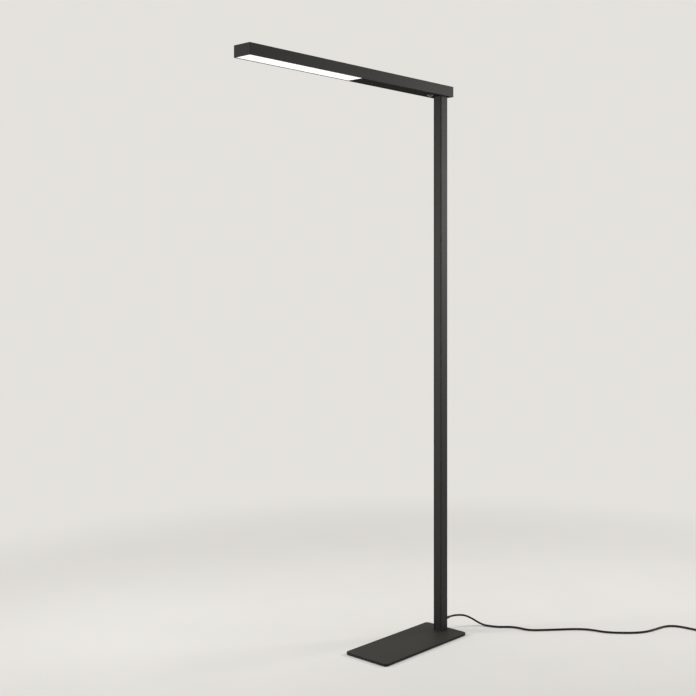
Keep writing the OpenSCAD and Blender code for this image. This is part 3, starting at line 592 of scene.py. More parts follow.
@dataclass
class Piece:
    """One piece on the bench, modelled with Blender's own operators and then placed in the frame."""

    name: str
    obj: bpy.types.Object

    # Ways to start a piece

    @staticmethod
    def clear() -> None:
        """Leaves edit mode and deselects everything."""
        if bpy.context.mode != "OBJECT":
            bpy.ops.object.mode_set(mode="OBJECT")
        bpy.ops.object.select_all(action="DESELECT")

    def hold(self) -> "Piece":
        """Makes the piece the only one that is selected.

        Returns:
            The piece itself.
        """
        self.clear()
        self.obj.select_set(True)
        bpy.context.view_layer.objects.active = self.obj
        return self

    @contextmanager
    def editing(self) -> Iterator[None]:
        """Holds the piece in edit mode, with all of it selected at the start."""
        self.hold()
        bpy.ops.object.mode_set(mode="EDIT")
        bpy.ops.mesh.select_mode(type="VERT")
        bpy.ops.mesh.select_all(action="SELECT")
        yield
        bpy.ops.object.mode_set(mode="OBJECT")

    @classmethod
    def take(cls, name: str) -> "Piece":
        """Names the primitive that was just added and bakes its place into its mesh.

        Args:
            name: The piece's name.

        Returns:
            The piece.
        """
        obj = bpy.context.active_object
        obj.name = obj.data.name = name
        return cls(name, obj).settle()

    def settle(self) -> "Piece":
        """Bakes the object's place, turn and size into its mesh."""
        self.hold()
        bpy.ops.object.transform_apply(location=True, rotation=True, scale=True)
        return self

    @classmethod
    def block(cls, name: str, corner: Sequence[float], opposite: Sequence[float]) -> "Piece":
        """Starts from a cube between two opposite corners.

        Args:
            name: The piece's name.
            corner: One corner, in metres.
            opposite: The corner across from it.

        Returns:
            The piece, on the bench.
        """
        cls.clear()
        low, high = (Vector([end(pair) for pair in zip(corner, opposite)]) for end in (min, max))
        bpy.ops.mesh.primitive_cube_add(size=1, location=(low + high) / 2)
        bpy.context.active_object.scale = high - low
        return cls.take(name)

    @classmethod
    def bar(
        cls, name: str, sides: int, radius: float, low: Sequence[float], length: float, turn: float = 0
    ) -> "Piece":
        """Starts from an upright prism, such as a round or hexagonal bar.

        Args:
            name: The piece's name.
            sides: How many sides it has.
            radius: The distance from its axis to its corners.
            low: The middle of its lower end.
            length: Its height.
            turn: How far it is turned about its axis, in degrees.

        Returns:
            The piece, on the bench.
        """
        cls.clear()
        bpy.ops.mesh.primitive_cylinder_add(
            vertices=sides,
            radius=radius,
            depth=length,
            location=Vector(low) + Vector((0, 0, length / 2)),
            rotation=(0, 0, math.radians(turn)),
        )
        return cls.take(name)

    @classmethod
    def turned(
        cls,
        name: str,
        profile: Outline,
        centre: Sequence[float],
        axis: Axis = Axis.Z,
        steps: int = 64,
    ) -> "Piece":
        """Turns a profile round an axis, as on a lathe.

        Args:
            name: The piece's name.
            profile: Points as (radius, place along the axis), in metres. The line begins and ends on the
                axis, or it closes on itself where the piece has a bore.
            centre: The point on the axis that the places are counted from.
            axis: The direction of the axis.
            steps: How many faces go round.

        Returns:
            The piece, on the bench.
        """
        cls.clear()
        along, out = Vector(axis.value), Vector(axis.value).yzx
        points = [Vector(centre) + along * place + out * radius for radius, place in profile]
        bpy.ops.mesh.primitive_plane_add(size=MM, location=points[0])
        piece = cls.take(name)
        with piece.editing():
            bpy.ops.mesh.merge(type="CENTER")
            for here, there in zip(points, points[1:]):
                bpy.ops.mesh.extrude_vertices_move(TRANSFORM_OT_translate={"value": there - here})
            bpy.ops.mesh.select_all(action="SELECT")
            bpy.ops.mesh.spin(steps=steps, angle=2 * math.pi, center=centre, axis=axis.value)
            bpy.ops.mesh.select_all(action="SELECT")
            bpy.ops.mesh.remove_doubles(threshold=SAME_POINT / 2)
            bpy.ops.mesh.normals_make_consistent(inside=False)
        return piece

    @classmethod
    def wound(cls, name: str, wire: float, turns: int, low: Vector, high: Vector) -> "Piece":
        """Winds a round wire into an upright coil spring that fills a box.

        Args:
            name: The piece's name.
            wire: The wire's thickness.
            turns: How many times it goes round.
            low: The box's lowest corner.
            high: The box's highest corner.

        Returns:
            The piece, on the bench.
        """
        cls.clear()
        radius = (high.x - low.x - wire) / 2
        bpy.ops.mesh.primitive_circle_add(
            vertices=12, radius=wire / 2, location=(radius, 0, wire / 2), rotation=(math.pi / 2, 0, 0)
        )
        piece = cls.take(name)
        bpy.ops.object.modifier_add(type="SCREW")
        winding = piece.obj.modifiers[-1]
        winding.axis = "Z"
        winding.angle = 2 * math.pi * turns
        winding.screw_offset = high.z - low.z - wire
        winding.steps = winding.render_steps = 32 * turns
        bpy.ops.object.modifier_apply(modifier=winding.name)
        with piece.editing():
            bpy.ops.mesh.fill_holes(sides=0)
            bpy.ops.mesh.select_all(action="SELECT")
            bpy.ops.mesh.normals_make_consistent(inside=False)
        piece.obj.location = ((low.x + high.x) / 2, (low.y + high.y) / 2, low.z)
        return piece.settle()

    @classmethod
    def copy_of(cls, name: str, node: str) -> "Piece":
        """Starts from a copy of a node's exact shape, with its loose triangles merged into faces.

        Args:
            name: The piece's name.
            node: The node.

        Returns:
            The piece, on the bench.
        """
        obj = bpy.data.objects.new(name, frame["nodes"][node].data.copy())
        bpy.context.scene.collection.objects.link(obj)
        obj.data.materials.clear()
        piece = cls(name, obj)
        with piece.editing():
            bpy.ops.mesh.customdata_custom_splitnormals_clear()
            bpy.ops.mesh.remove_doubles(threshold=SAME_POINT)
            bpy.ops.mesh.dissolve_limited(angle_limit=math.radians(0.5))
        return piece

    # Edit-mode work

    def select(self, what: Pick, test: Test) -> int:
        """Selects the faces or the sharp edges that pass a test, in edit mode.

        Args:
            what: Whether faces or edges are tested.
            test: Takes the middle and the normal of a face, or the middle and the direction of an edge.

        Returns:
            How many were selected.
        """
        self.hold()
        bpy.ops.object.mode_set(mode="EDIT")
        bpy.ops.mesh.select_mode(type=what.value)
        bpy.ops.mesh.select_all(action="DESELECT")
        mesh = bmesh.from_edit_mesh(self.obj.data)
        if what is Pick.FACES:
            found = [face for face in mesh.faces if test(face.calc_center_median(), face.normal)]
        else:
            found = []
            for edge in mesh.edges:
                a, b = (v.co for v in edge.verts)
                if edge.calc_face_angle(math.pi) > FLAT_ANGLE and test((a + b) / 2, (b - a).normalized()):
                    found.append(edge)
        for item in found:
            item.select_set(True)
        bmesh.update_edit_mesh(self.obj.data)
        if not found:
            log.warning("%s: nothing passes the test", self.name)
        return len(found)

    def done(self) -> "Piece":
        """Leaves edit mode."""
        bpy.ops.object.mode_set(mode="OBJECT")
        return self

    def bevel(self, width: float, segments: int, *tests: Test) -> "Piece":
        """Rounds the sharp edges that pass all the tests.

        Args:
            width: How far the rounding reaches.
            segments: How many faces it has.
            *tests: The tests of an edge's middle and direction.

        Returns:
            The piece itself.
        """
        if self.select(Pick.EDGES, lambda at, way: all(test(at, way) for test in tests)):
            bpy.ops.mesh.bevel(offset=width, segments=segments, affect="EDGES", clamp_overlap=True)
        return self.done()

    def cut(self, at: Sequence[float], normal: Sequence[float]) -> "Piece":
        """Cuts a line of edges where a plane meets the piece.

        Args:
            at: A point of the plane.
            normal: The plane's normal.

        Returns:
            The piece itself.
        """
        with self.editing():
            bpy.ops.mesh.bisect(plane_co=at, plane_no=normal)
        return self

    def pull(self, by: Sequence[float], test: Test) -> "Piece":
        """Extrudes the faces that pass a test.

        Args:
            by: How far they are pulled out.
            test: The test of a face's middle and normal.

        Returns:
            The piece itself.
        """
        if self.select(Pick.FACES, test):
            bpy.ops.mesh.extrude_region_move(TRANSFORM_OT_translate={"value": by})
        return self.done()

    def inset(self, width: float, depth: float, test: Test) -> "Piece":
        """Insets the faces that pass a test, and raises them, or sinks them where the depth is below 0.

        Args:
            width: How far the new edges lie inside.
            depth: How far the faces rise.
            test: The test of a face's middle and normal.

        Returns:
            The piece itself.
        """
        if self.select(Pick.FACES, test):
            bpy.ops.mesh.inset(thickness=width, depth=depth, use_even_offset=True)
        return self.done()

    def paint(self, finish: "Finish", test: Test) -> "Piece":
        """Gives the faces that pass a test a finish of their own, beside the piece's first.

        Args:
            finish: The finish.
            test: The test of a face's middle and normal.

        Returns:
            The piece itself.
        """
        self.obj.data.materials.append(finish.material())
        if self.select(Pick.FACES, test):
            self.obj.active_material_index = len(self.obj.data.materials) - 1
            bpy.ops.object.material_slot_assign()
        return self.done()

    # Joining and cutting

    def combine(self, operation: str, other: "Piece") -> "Piece":
        """Applies a boolean with another piece.

        Args:
            operation: UNION, DIFFERENCE or INTERSECT.
            other: The other piece, which is used up.

        Returns:
            The piece itself.
        """
        self.hold()
        modifier = self.obj.modifiers.new("boolean", "BOOLEAN")
        modifier.operation = operation
        modifier.object = other.obj
        modifier.solver = "EXACT"
        bpy.ops.object.modifier_apply(modifier=modifier.name)
        bpy.data.objects.remove(other.obj)
        return self

    def take_away(self, *others: "Piece") -> "Piece":
        """Cuts the other pieces out of this one.

        Args:
            *others: The pieces that are cut out.

        Returns:
            The piece itself.
        """
        for other in others:
            self.combine("DIFFERENCE", other)
        return self

    def fuse(self, *others: "Piece") -> "Piece":
        """Makes this piece and the others one solid.

        Args:
            *others: The pieces that are joined to it.

        Returns:
            The piece itself.
        """
        for other in others:
            self.combine("UNION", other)
        return self

    def join(self, *others: "Piece") -> "Piece":
        """Puts the others' meshes beside this one's, in one piece.

        Args:
            *others: The other pieces.

        Returns:
            The piece itself.
        """
        self.hold()
        for other in others:
            other.obj.select_set(True)
        bpy.ops.object.join()
        return self

    def repeat(self, steps: Iterable[Sequence[float]]) -> "Piece":
        """Adds copies of the piece, all in one mesh.

        Args:
            steps: How far each copy is moved.

        Returns:
            The piece itself.
        """
        twins = []
        for step in steps:
            obj = self.obj.copy()
            obj.data = self.obj.data.copy()
            obj.location = step
            bpy.context.scene.collection.objects.link(obj)
            twins.append(Piece(obj.name, obj).settle())
        return self.join(*twins) if twins else self

    def move(self, by: Sequence[float], turn: float = 0) -> "Piece":
        """Turns the piece about the frame's upright axis, in degrees, and then moves it.

        Args:
            by: How far it moves.
            turn: How far it turns first.

        Returns:
            The piece itself.
        """
        self.obj.rotation_euler.z = math.radians(turn)
        self.obj.location = by
        return self.settle()

    # The last steps

    def smooth(self) -> "Piece":
        """Shades the round faces smooth and keeps the flat ones flat.

        Returns:
            The piece itself.
        """
        self.hold()
        bpy.ops.object.shade_smooth_by_angle(angle=ROUND_ANGLE)
        modifier = self.obj.modifiers.new("flat faces stay flat", "WEIGHTED_NORMAL")
        modifier.keep_sharp = True
        bpy.ops.object.modifier_apply(modifier=modifier.name)
        return self

    def dress(self, finish: "Finish") -> "Piece":
        """Gives the whole piece its first finish.

        Args:
            finish: The finish.

        Returns:
            The piece itself.
        """
        self.obj.data.materials.clear()
        self.obj.data.materials.append(finish.material())
        return self

    def stand_for(self, *nodes: str, body: str = LAMP) -> "Piece":
        """Shades the piece, rides it on its body and lets it stand for its nodes.

        Args:
            nodes: The nodes that it stands for. It takes the material slot of the first.
            body: The body that it moves with.

        Returns:
            The piece itself.
        """
        slot = SLOTS[nodes[0]]
        if not self.obj.data.materials:
            self.dress(NODE_FINISH.get(nodes[0], SLOT_FINISH[slot]))
        self.smooth().clear()
        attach(self.obj, body)
        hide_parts(*nodes)
        log.info("%s stands for %s", self.name, ", ".join(nodes))
        return self


def near(a: float, b: float, within: float = 0.02 * MM) -> bool:
    """Whether two sizes are the same, but for a small difference."""
    return abs(a - b) < within


def running(*axes: Axis) -> Test:
    """The test for edges that run along one of the axes."""
    return lambda at, way: any(abs(way[axis.index]) > 0.999 for axis in axes)


def level(axis: Axis, *places: float) -> Test:
    """The test for what lies at one of the places along an axis."""
    return lambda at, way: any(near(at[axis.index], place) for place in places)


def either(*tests: Test) -> Test:
    """The test for what passes one of the tests."""
    return lambda at, way: any(test(at, way) for test in tests)


def off(radius: float, place: float, *steps: tuple[float, float]) -> Outline:
    """Points of an outline that are given by their steps from one point, in millimetres."""
    return [(radius + out * MM, place + up * MM) for out, up in steps]


def rod(radius: float, start: float, end: float) -> Outline:
    """The outline of a plain round rod along its axis."""
    return [(0, start), (radius, start), (radius, end), (0, end)]


def solids(node: str) -> list[tuple[Vector, Vector]]:
    """The lowest and highest corner of each separate solid of a node, in order of place.

    Args:
        node: The node's name.

    Returns:
        The two corners of each solid.
    """
    mesh = frame["nodes"][node].data
    owner: dict[tuple[int, ...], tuple[int, ...]] = {}

    def root(key: tuple[int, ...]) -> tuple[int, ...]:
        """The point that stands for all the points joined to this one.

        Args:
            key: The place of a point.

        Returns:
            The place of the point that stands for it.
        """
        while owner.setdefault(key, key) != key:
            key = owner[key]
        return key

    keys = [tuple(round(c / SAME_POINT) for c in v.co) for v in mesh.vertices]
    for face in mesh.polygons:
        first, *others = (root(keys[i]) for i in face.vertices)
        for other in others:
            owner[root(other)] = root(first)
    boxes: dict[tuple[int, ...], list[Vector]] = {}
    for key, vertex in zip(keys, mesh.vertices):
        low, high = boxes.setdefault(root(key), [vertex.co.copy(), vertex.co.copy()])
        for i, value in enumerate(vertex.co):
            low[i] = min(low[i], value)
            high[i] = max(high[i], value)
    return sorted(((low, high) for low, high in boxes.values()), key=lambda box: tuple(box[0]))


# ---------- Camera, light and floor ----------


@dataclass(frozen=True)
class SoftBox:
    """A square area light, turned to a point, with a grid in front where its spread is narrow."""

    name: str
    at: tuple[float, float, float]
    aim: tuple[float, float, float]
    size: float
    watts: float
    spread_deg: float = 180

    def hang(self) -> None:
        """Adds the light. The camera doesn't see it."""
        data = bpy.data.lights.new(self.name, "AREA")
        data.size = self.size
        data.energy = self.watts
        data.spread = math.radians(self.spread_deg)
        light = bpy.data.objects.new(self.name, data)
        light.location = self.at
        light.rotation_euler = (Vector(self.aim) - Vector(self.at)).to_track_quat("-Z", "Y").to_euler()
        light.visible_camera = False
        bpy.context.scene.collection.objects.link(light)


SOFT_BOXES = (
    SoftBox("right key", (2.9, -1.4, 1.9), (0, 0, 1.3), 0.8, 25, 120),
    SoftBox("right low", (2.0, -1.9, 1.35), (0, 0, 1.3), 0.8, 5, 120),
    SoftBox("left key", (-2.1, 1.9, 1.2), (0, 0, 1.3), 0.8, 19.5, 120),
    SoftBox("left high", (-2.1, 1.9, 1.75), (0, 0, 1.3), 0.8, 4.2, 120),
    SoftBox("top", (0.2, 0.6, 4.2), (-0.1, 0, 0), 2.6, 90),
)


@dataclass
class Studio:
    """The camera of the photograph, plain soft light and a plain pale floor."""

    camera_at: tuple[float, float, float] = (-3.07167, -2.37274, 1.24563)
    heading_deg: float = -47.42
    focal_px: float = 1080.28
    horizon_px: float = 283.74
    image_px: float = 696
    sensor_mm: float = 36
    backdrop: Colour = (0.775, 0.757, 0.722)
    floor_colour: Colour = (0.7, 0.684, 0.652)
    ambient: float = 0.3
    floor_reach: float = 14
    floor_z: float = -0.4 * MM
    fade: tuple[float, float] = (0.9, 2.6)
    under_light: float = 6 * MM

    def camera(self) -> None:
        """Sets the camera level, with the horizon above the middle of the picture."""
        data = bpy.data.cameras.new("camera")
        data.sensor_width = self.sensor_mm
        data.lens = self.focal_px / self.image_px * self.sensor_mm
        data.shift_y = (self.horizon_px - self.image_px / 2) / self.image_px
        data.clip_end = 100
        camera = bpy.data.objects.new("camera", data)
        camera.location = self.camera_at
        camera.rotation_euler = (math.pi / 2, 0, math.radians(self.heading_deg))
        bpy.context.scene.collection.objects.link(camera)
        bpy.context.scene.camera = camera

    def world(self) -> None:
        """A pale backdrop that the camera and reflections see, over a plain soft light."""
        world = bpy.data.worlds.new("studio")
        bpy.context.scene.world = world
        graph = Graph(world)
        light = graph.find("BACKGROUND")
        graph.fill(light, {"Color": (1, 1, 1, 1), "Strength": self.ambient})
        pale = graph.node("ShaderNodeBackground", Color=(*self.backdrop, 1))
        graph.show(graph.mix(graph.seen(), light.outputs[0], pale.outputs[0]))

    def floor(self) -> None:
        """A pale floor that fades into the backdrop far away. It is clear from below, and to short rays."""
        Piece.clear()
        bpy.ops.mesh.primitive_circle_add(
            vertices=96, radius=self.floor_reach, fill_type="NGON", location=(0, 0, self.floor_z)
        )
        piece = Piece.take("floor")
        graph = Surface("pale floor")
        near_end, far_end = self.fade
        far = graph.away((0, 0))
        fade = graph.node("ShaderNodeMapRange", Value=far, From_Min=near_end, From_Max=far_end).outputs[0]
        fade.node.interpolation_type = "SMOOTHSTEP"
        graph.set(
            Base_Color=graph.shade(self.floor_colour, 0.012, graph.noise(3, 3)),
            Roughness=0.8,
            Specular_IOR_Level=0.2,
            Normal=graph.bump(graph.noise(500, 2), 0.0001),
        )
        seen = graph.seen()
        glow = graph.node("ShaderNodeEmission", Color=(*self.backdrop, 1), Strength=seen).outputs[0]
        clear = graph.node("ShaderNodeBsdfTransparent").outputs[0]
        short = graph.node("ShaderNodeLightPath").outputs["Ray Length"]
        under = graph.sum("LESS_THAN", short, self.under_light)
        back = graph.node("ShaderNodeNewGeometry").outputs["Backfacing"]
        top = graph.mix(graph.sum("MULTIPLY", fade, seen), graph.shader.outputs[0], glow)
        graph.show(graph.mix(graph.sum("MAXIMUM", back, under), top, clear))
        piece.obj.data.materials.append(graph.material)

    def build(self) -> None:
        """Sets up the whole studio."""
        bpy.context.scene.view_settings.view_transform = "Standard"
        self.camera()
        self.world()
        self.floor()
        for box in SOFT_BOXES:
            box.hang()
        log.info("camera, light and floor")


# ---------- Screws ----------


class Drive(Enum):
    """The recess in a screw's head."""

    CROSS = "cross"
    HEX = "hex"


class HeadShape(Enum):
    """The shape of a screw's head."""

    PAN = "pan"
    CAP = "cap"
    SUNK = "sunk"


@dataclass(frozen=True)
class ScrewKind:
    """The sizes of one kind of screw, in metres."""

    shape: HeadShape
    drive: Drive
    head_radius: float
    head_height: float
    shank_radius: float
    thread_pitch: float
    key: float
    key_depth: float
    key_width: float = 0.7 * MM
    point: float = 0.4 * MM

    def head(self) -> Outline:
        """The outline of the head from the shank to the tip, as (radius, height above its seat).

        Returns:
            Its points.
        """
        r, h = self.head_radius, self.head_height
        if self.shape is HeadShape.PAN:
            crown = [(r, 0.35 * h), (0.9 * r, 0.7 * h), (0.66 * r, 0.92 * h), (0.3 * r, h)]
            return [*off(r, 0, (-0.05, 0), (0, 0.1)), *crown]
        if self.shape is HeadShape.CAP:
            return [*off(r, 0, (-0.1, 0), (0, 0.1)), *off(r, h, (0, -0.5), (-0.15, -0.15), (-0.5, 0))]
        return [(self.shank_radius, 0), *off(r, h, (0, -0.12), (-0.05, 0))]

    def build(self, name: str, at: Vector, length: float) -> Piece:
        """Makes one screw with its head down.

        Args:
            name: The piece's name.
            at: The lowest point of its head, on its axis.
            length: Its whole length, with the head.

        Returns:
            The screw.
        """
        root = self.shank_radius - 0.35 * self.thread_pitch
        start, top = self.head_height, length - self.point
        profile = [(0, 0), *((r, start - z) for r, z in reversed(self.head())), (root, start)]
        for k in range(int((top - start) / self.thread_pitch) - 1):
            z = start + (k + 0.5) * self.thread_pitch
            profile += [(root, z), (self.shank_radius, z + self.thread_pitch / 2)]
        profile += [(root, top), (root - self.point, length), (0, length)]
        screw = Piece.turned(name, profile, at, Axis.Z, 24)
        below = at - Vector((0, 0, MM))
        if self.drive is Drive.HEX:
            return screw.take_away(Piece.bar("hex_key", 6, self.key, below, self.key_depth + MM))
        top = at.z + self.key_depth
        keys = [
            Piece.block("key", (below.x - x, below.y - y, below.z), (below.x + x, below.y + y, top))
            for x, y in ((self.key, self.key_width / 2), (self.key_width / 2, self.key))
        ]
        return screw.take_away(keys[0].fuse(keys[1]))


M3_PAN = ScrewKind(HeadShape.PAN, Drive.CROSS, 2.75 * MM, 1.8 * MM, 1.2 * MM, 0.5 * MM, 1.5 * MM, 0.9 * MM)
M5_CAP = ScrewKind(HeadShape.CAP, Drive.HEX, 4.25 * MM, 5 * MM, 2.0 * MM, 0.8 * MM, 2.3 * MM, 2.5 * MM)
M5_SUNK = ScrewKind(HeadShape.SUNK, Drive.HEX, 5 * MM, 2.9 * MM, 2.0 * MM, 0.8 * MM, 1.7 * MM, 2.2 * MM)


def drive_screws(name: str, node: str, kind: ScrewKind) -> None:
    """Makes all the screws of a node, each with its head at the end where its own solid is wide.

    Args:
        name: The piece's name.
        node: The node that the screws stand for.
        kind: The kind of screw.
    """
    boxes = solids(node)
    points = [v.co for v in frame["nodes"][node].data.vertices]
    seats: dict[bool, list[Vector]] = {False: [], True: []}
    for low, high in boxes:
        middle = (low + high) / 2
        reaches = [(p.z, max(abs(p.x - middle.x), abs(p.y - middle.y))) for p in points]
        wide = [z for z, reach in reaches if near(reach, kind.head_radius, 0.1 * MM)]
        upward = sum(z < middle.z for z in wide) <= len(wide) / 2
        seats[upward].append(Vector((middle.x, middle.y, high.z if upward else low.z)))
    length = boxes[0][1].z - boxes[0][0].z
    made = []
    for upward, group in seats.items():
        if group:
            screw = kind.build(name, Vector((0, 0, 0)), length)
            screw.obj.rotation_euler.x = math.pi if upward else 0
            screw.settle().move(group[0]).repeat(at - group[0] for at in group[1:])
            made.append(screw)
    made[0].join(*made[1:]).stand_for(node)


# ---------- Base ----------


@dataclass
class Base:
    """The steel base plate with its non-slip mat and its four screws from below."""

    corner_radius: float = 12 * MM
    mat_corner: float = 8 * MM
    top_edge: float = 0.9 * MM
    bottom_edge: float = 0.5 * MM
    mat_edge: float = 0.35 * MM
    hole_radius: float = 2.75 * MM
    sunk_radius: float = 5.15 * MM
    sunk_depth: float = 2.9 * MM

    def plate(self) -> None:
        """The plate, with round corners, softened edges and countersunk holes."""
        low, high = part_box("base_plate")
        piece = Piece.block("coated_base_plate", low, high)
        piece.bevel(self.corner_radius, 14, running(Axis.Z))
        piece.bevel(self.top_edge, 3, level(Axis.Z, high.z))
        piece.bevel(self.bottom_edge, 2, level(Axis.Z, low.z))
        hole, sunk, above = self.hole_radius, self.sunk_radius, high.z - low.z + MM
        profile = [(0, -MM), (sunk, -MM), (sunk, 0), (hole, self.sunk_depth), (hole, above), (0, above)]
        for foot, tip in solids("base_screws"):
            at = (foot + tip) / 2
            piece.take_away(Piece.turned("countersink", profile, (at.x, at.y, low.z), Axis.Z, 32))
        piece.stand_for("base_plate")

    def mat(self) -> None:
        """The mat, with its soft lower edge."""
        low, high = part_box("base_mat")
        piece = Piece.block("non_slip_mat", low, high)
        piece.bevel(self.mat_corner, 10, running(Axis.Z))
        piece.bevel(self.mat_edge, 2, level(Axis.Z, low.z)).stand_for("base_mat")

    def build(self) -> None:
        """Builds the plate, the mat and the screws."""
        self.plate()
        self.mat()
        drive_screws("base_plate_screws", "base_screws", M5_SUNK)


# ---------- Post ----------


@dataclass
class Post:
    """The square post: a channel with a snap-in strip that closes its front."""

    chamfer: float = 0.3 * MM
    strip_edge: float = 0.2 * MM
    wall: float = 2 * MM
    rebate: float = 1.2 * MM

    def channel(self) -> None:
        """The channel, with its lips chamfered along the strip."""
        low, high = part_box("post_channel")
        inner = high.y - self.wall
        lips = running(Axis.Z), level(Axis.X, low.x), level(Axis.Y, -inner, inner)
        Piece.copy_of("coated_post", "post_channel").bevel(self.chamfer, 2, *lips).stand_for("post_channel")

    def strip(self) -> None:
        """The strip, with a rebate along both front edges, so that a shadow line runs up each side."""
        low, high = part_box("post_cover_strip")
        piece = Piece.copy_of("coated_post_strip", "post_cover_strip")
        edge = max(v.co.y for v in piece.obj.data.vertices if near(v.co.x, low.x))
        for side in (-1, 1):
            corner = (low.x - MM, side * (edge - self.rebate), low.z - MM)
            opposite = (low.x + self.rebate, side * (edge + MM), high.z + MM)
            piece.take_away(Piece.block("rebate", corner, opposite))
        piece.bevel(self.strip_edge, 2, running(Axis.Z), level(Axis.X, low.x)).stand_for("post_cover_strip")

    def build(self) -> None:
        """Builds the channel and the strip."""
        self.channel()
        self.strip()


# ---------- Head ----------


@dataclass
class Head:
    """The lamp head: its profile, its caps, and the covers and diffusers that snap into it."""

    corner_radius: float = 1 * MM
    wall: float = 2 * MM
    lip: float = 0.35 * MM
    seam: float = 0.65 * MM
    cap_thick: float = 2.5 * MM
    cap_edge: float = 0.6 * MM
    peg_radius: float = 1.9 * MM
    peg_y: float = 30.5 * MM
    peg_z: float = 23 * MM
    peg_ribs: int = 4
    rib_start: float = 1.2 * MM
    rib_pitch: float = 2 * MM
    rib_height: float = 0.25 * MM
    cover_edge: float = 0.3 * MM

    def profile(self) -> None:
        """The extrusion, with the edges of its lips and of its sawn ends softened."""
        low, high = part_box("head_profile")
        inner = high.y - self.wall
        faces, ends = level(Axis.Z, low.z, high.z), level(Axis.X, low.x, high.x)
        piece = Piece.copy_of("coated_head_profile", "head_profile")
        piece.bevel(self.lip, 2, running(Axis.X), level(Axis.Y, -inner, inner), faces)
        piece.bevel(self.seam, 2, ends, either(faces, lambda at, way: near(abs(at.y), high.y, MM)))
        piece.stand_for("head_profile")

    def peg(self, reach: float, outward: int) -> Outline:
        """The outline of a ribbed peg.

        Args:
            reach: How far it sticks out.
            outward: -1 on the free end's cap and 1 on the rear one.

        Returns:
            Its outline, as (radius, place along X from the cap's back).
        """
        slim, tip = self.peg_radius - self.rib_height, 0.6 * MM
        line = [(0, -MM), (slim, -MM)]
        for k in range(self.peg_ribs):
            z = self.rib_start + k * self.rib_pitch
            line += [(slim, z), *off(self.peg_radius, z, (0, 0.5), (0, 0.9)), (slim, z + 1.3 * MM)]
        line += [(slim, reach - tip), (slim - tip, reach), (0, reach)]
        return [(r, -outward * z) for r, z in line]

    def cap(self, name: str, node: str, outward: int) -> None:
        """An end cap, with round corners, a softened rim and two ribbed pegs.

        Args:
            name: The piece's name.
            node: The node that it stands for.
            outward: -1 for the free end and 1 for the rear.
        """
        low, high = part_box(node)
        face, tip = (low.x, high.x) if outward < 0 else (high.x, low.x)
        back = face - outward * self.cap_thick
        piece = Piece.block(name, (face, low.y, low.z), (back, high.y, high.z))
        piece.bevel(self.corner_radius, 6, running(Axis.X))
        piece.bevel(self.cap_edge, 3, level(Axis.X, face))
        piece.bevel(self.seam, 2, level(Axis.X, back))
        outline = self.peg(abs(tip - back), outward)
        for side in (-1, 1):
            at = (back, side * self.peg_y, low.z + self.peg_z)
            piece.fuse(Piece.turned("peg", outline, at, Axis.X, 24))
        piece.stand_for(node)

    def cover(self, name: str, node: str) -> None:
        """A snap-in cover or diffuser, with the edges of its outer face rounded.

        Args:
            name: The piece's name.
            node: The node that it stands for.
        """
        low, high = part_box(node)
        outer = low.z if node in ("downlight_diffuser", "underside_cover") else high.z
        Piece.copy_of(name, node).bevel(self.cover_edge, 3, level(Axis.Z, outer)).stand_for(node)

    def build(self) -> None:
        """Builds the profile, both caps, and the covers."""
        self.profile()
        self.cap("free_end_cap", "front_end_cap", -1)
        self.cap("rear_cap", "rear_end_cap", 1)
        self.cover("snap_in_down_diffuser", "downlight_diffuser")
        self.cover("snap_in_up_diffuser", "uplight_diffuser")
        for node in ("front_top_cover", "rear_top_cover", "underside_cover"):
            self.cover(f"coated_{node}", node)
        drive_screws("post_mount_screws", "mount_screws", M5_CAP)


# ---------- Lights ----------


@dataclass
class Lights:
    """The LEDs on their boards, and the screws that hold the boards."""

    rim: float = 0.35 * MM
    well: float = 0.12 * MM
    corner: float = 0.15 * MM

    def leds(self, name: str, node: str, facing: int) -> None:
        """A field of LEDs, each a white cup with yellow gel in it.

        Args:
            name: The piece's name.
            node: The node that they stand for.
            facing: -1 where they shine down and 1 where they shine up.
        """
        boxes = solids(node)
        low, high = boxes[0]
        middle = (low.x + high.x) / 2
        piece = Piece.block(name, low, high).dress(WHITE_TRAY)
        piece.bevel(self.corner, 1, running(Axis.Z))
        piece.inset(self.rim, -self.well, lambda at, normal: normal.z * facing > 0.9)
        piece.paint(LED, lambda at, normal: normal.z * facing > 0.9 and near(at.x, middle, 0.1 * MM))
        piece.repeat(there - low for there, _ in boxes[1:])
        log.info("%s: %d LEDs", name, len(boxes))
        piece.stand_for(node)

    def build(self) -> None:
        """Builds both fields of LEDs and the board screws."""
        self.leds("down_leds", "downlight_leds", -1)
        self.leds("up_leds", "uplight_leds", 1)
        drive_screws("board_fixing_screws", "board_screws", M3_PAN)


# ---------- Driver, terminals, clamp, earth and mount block ----------


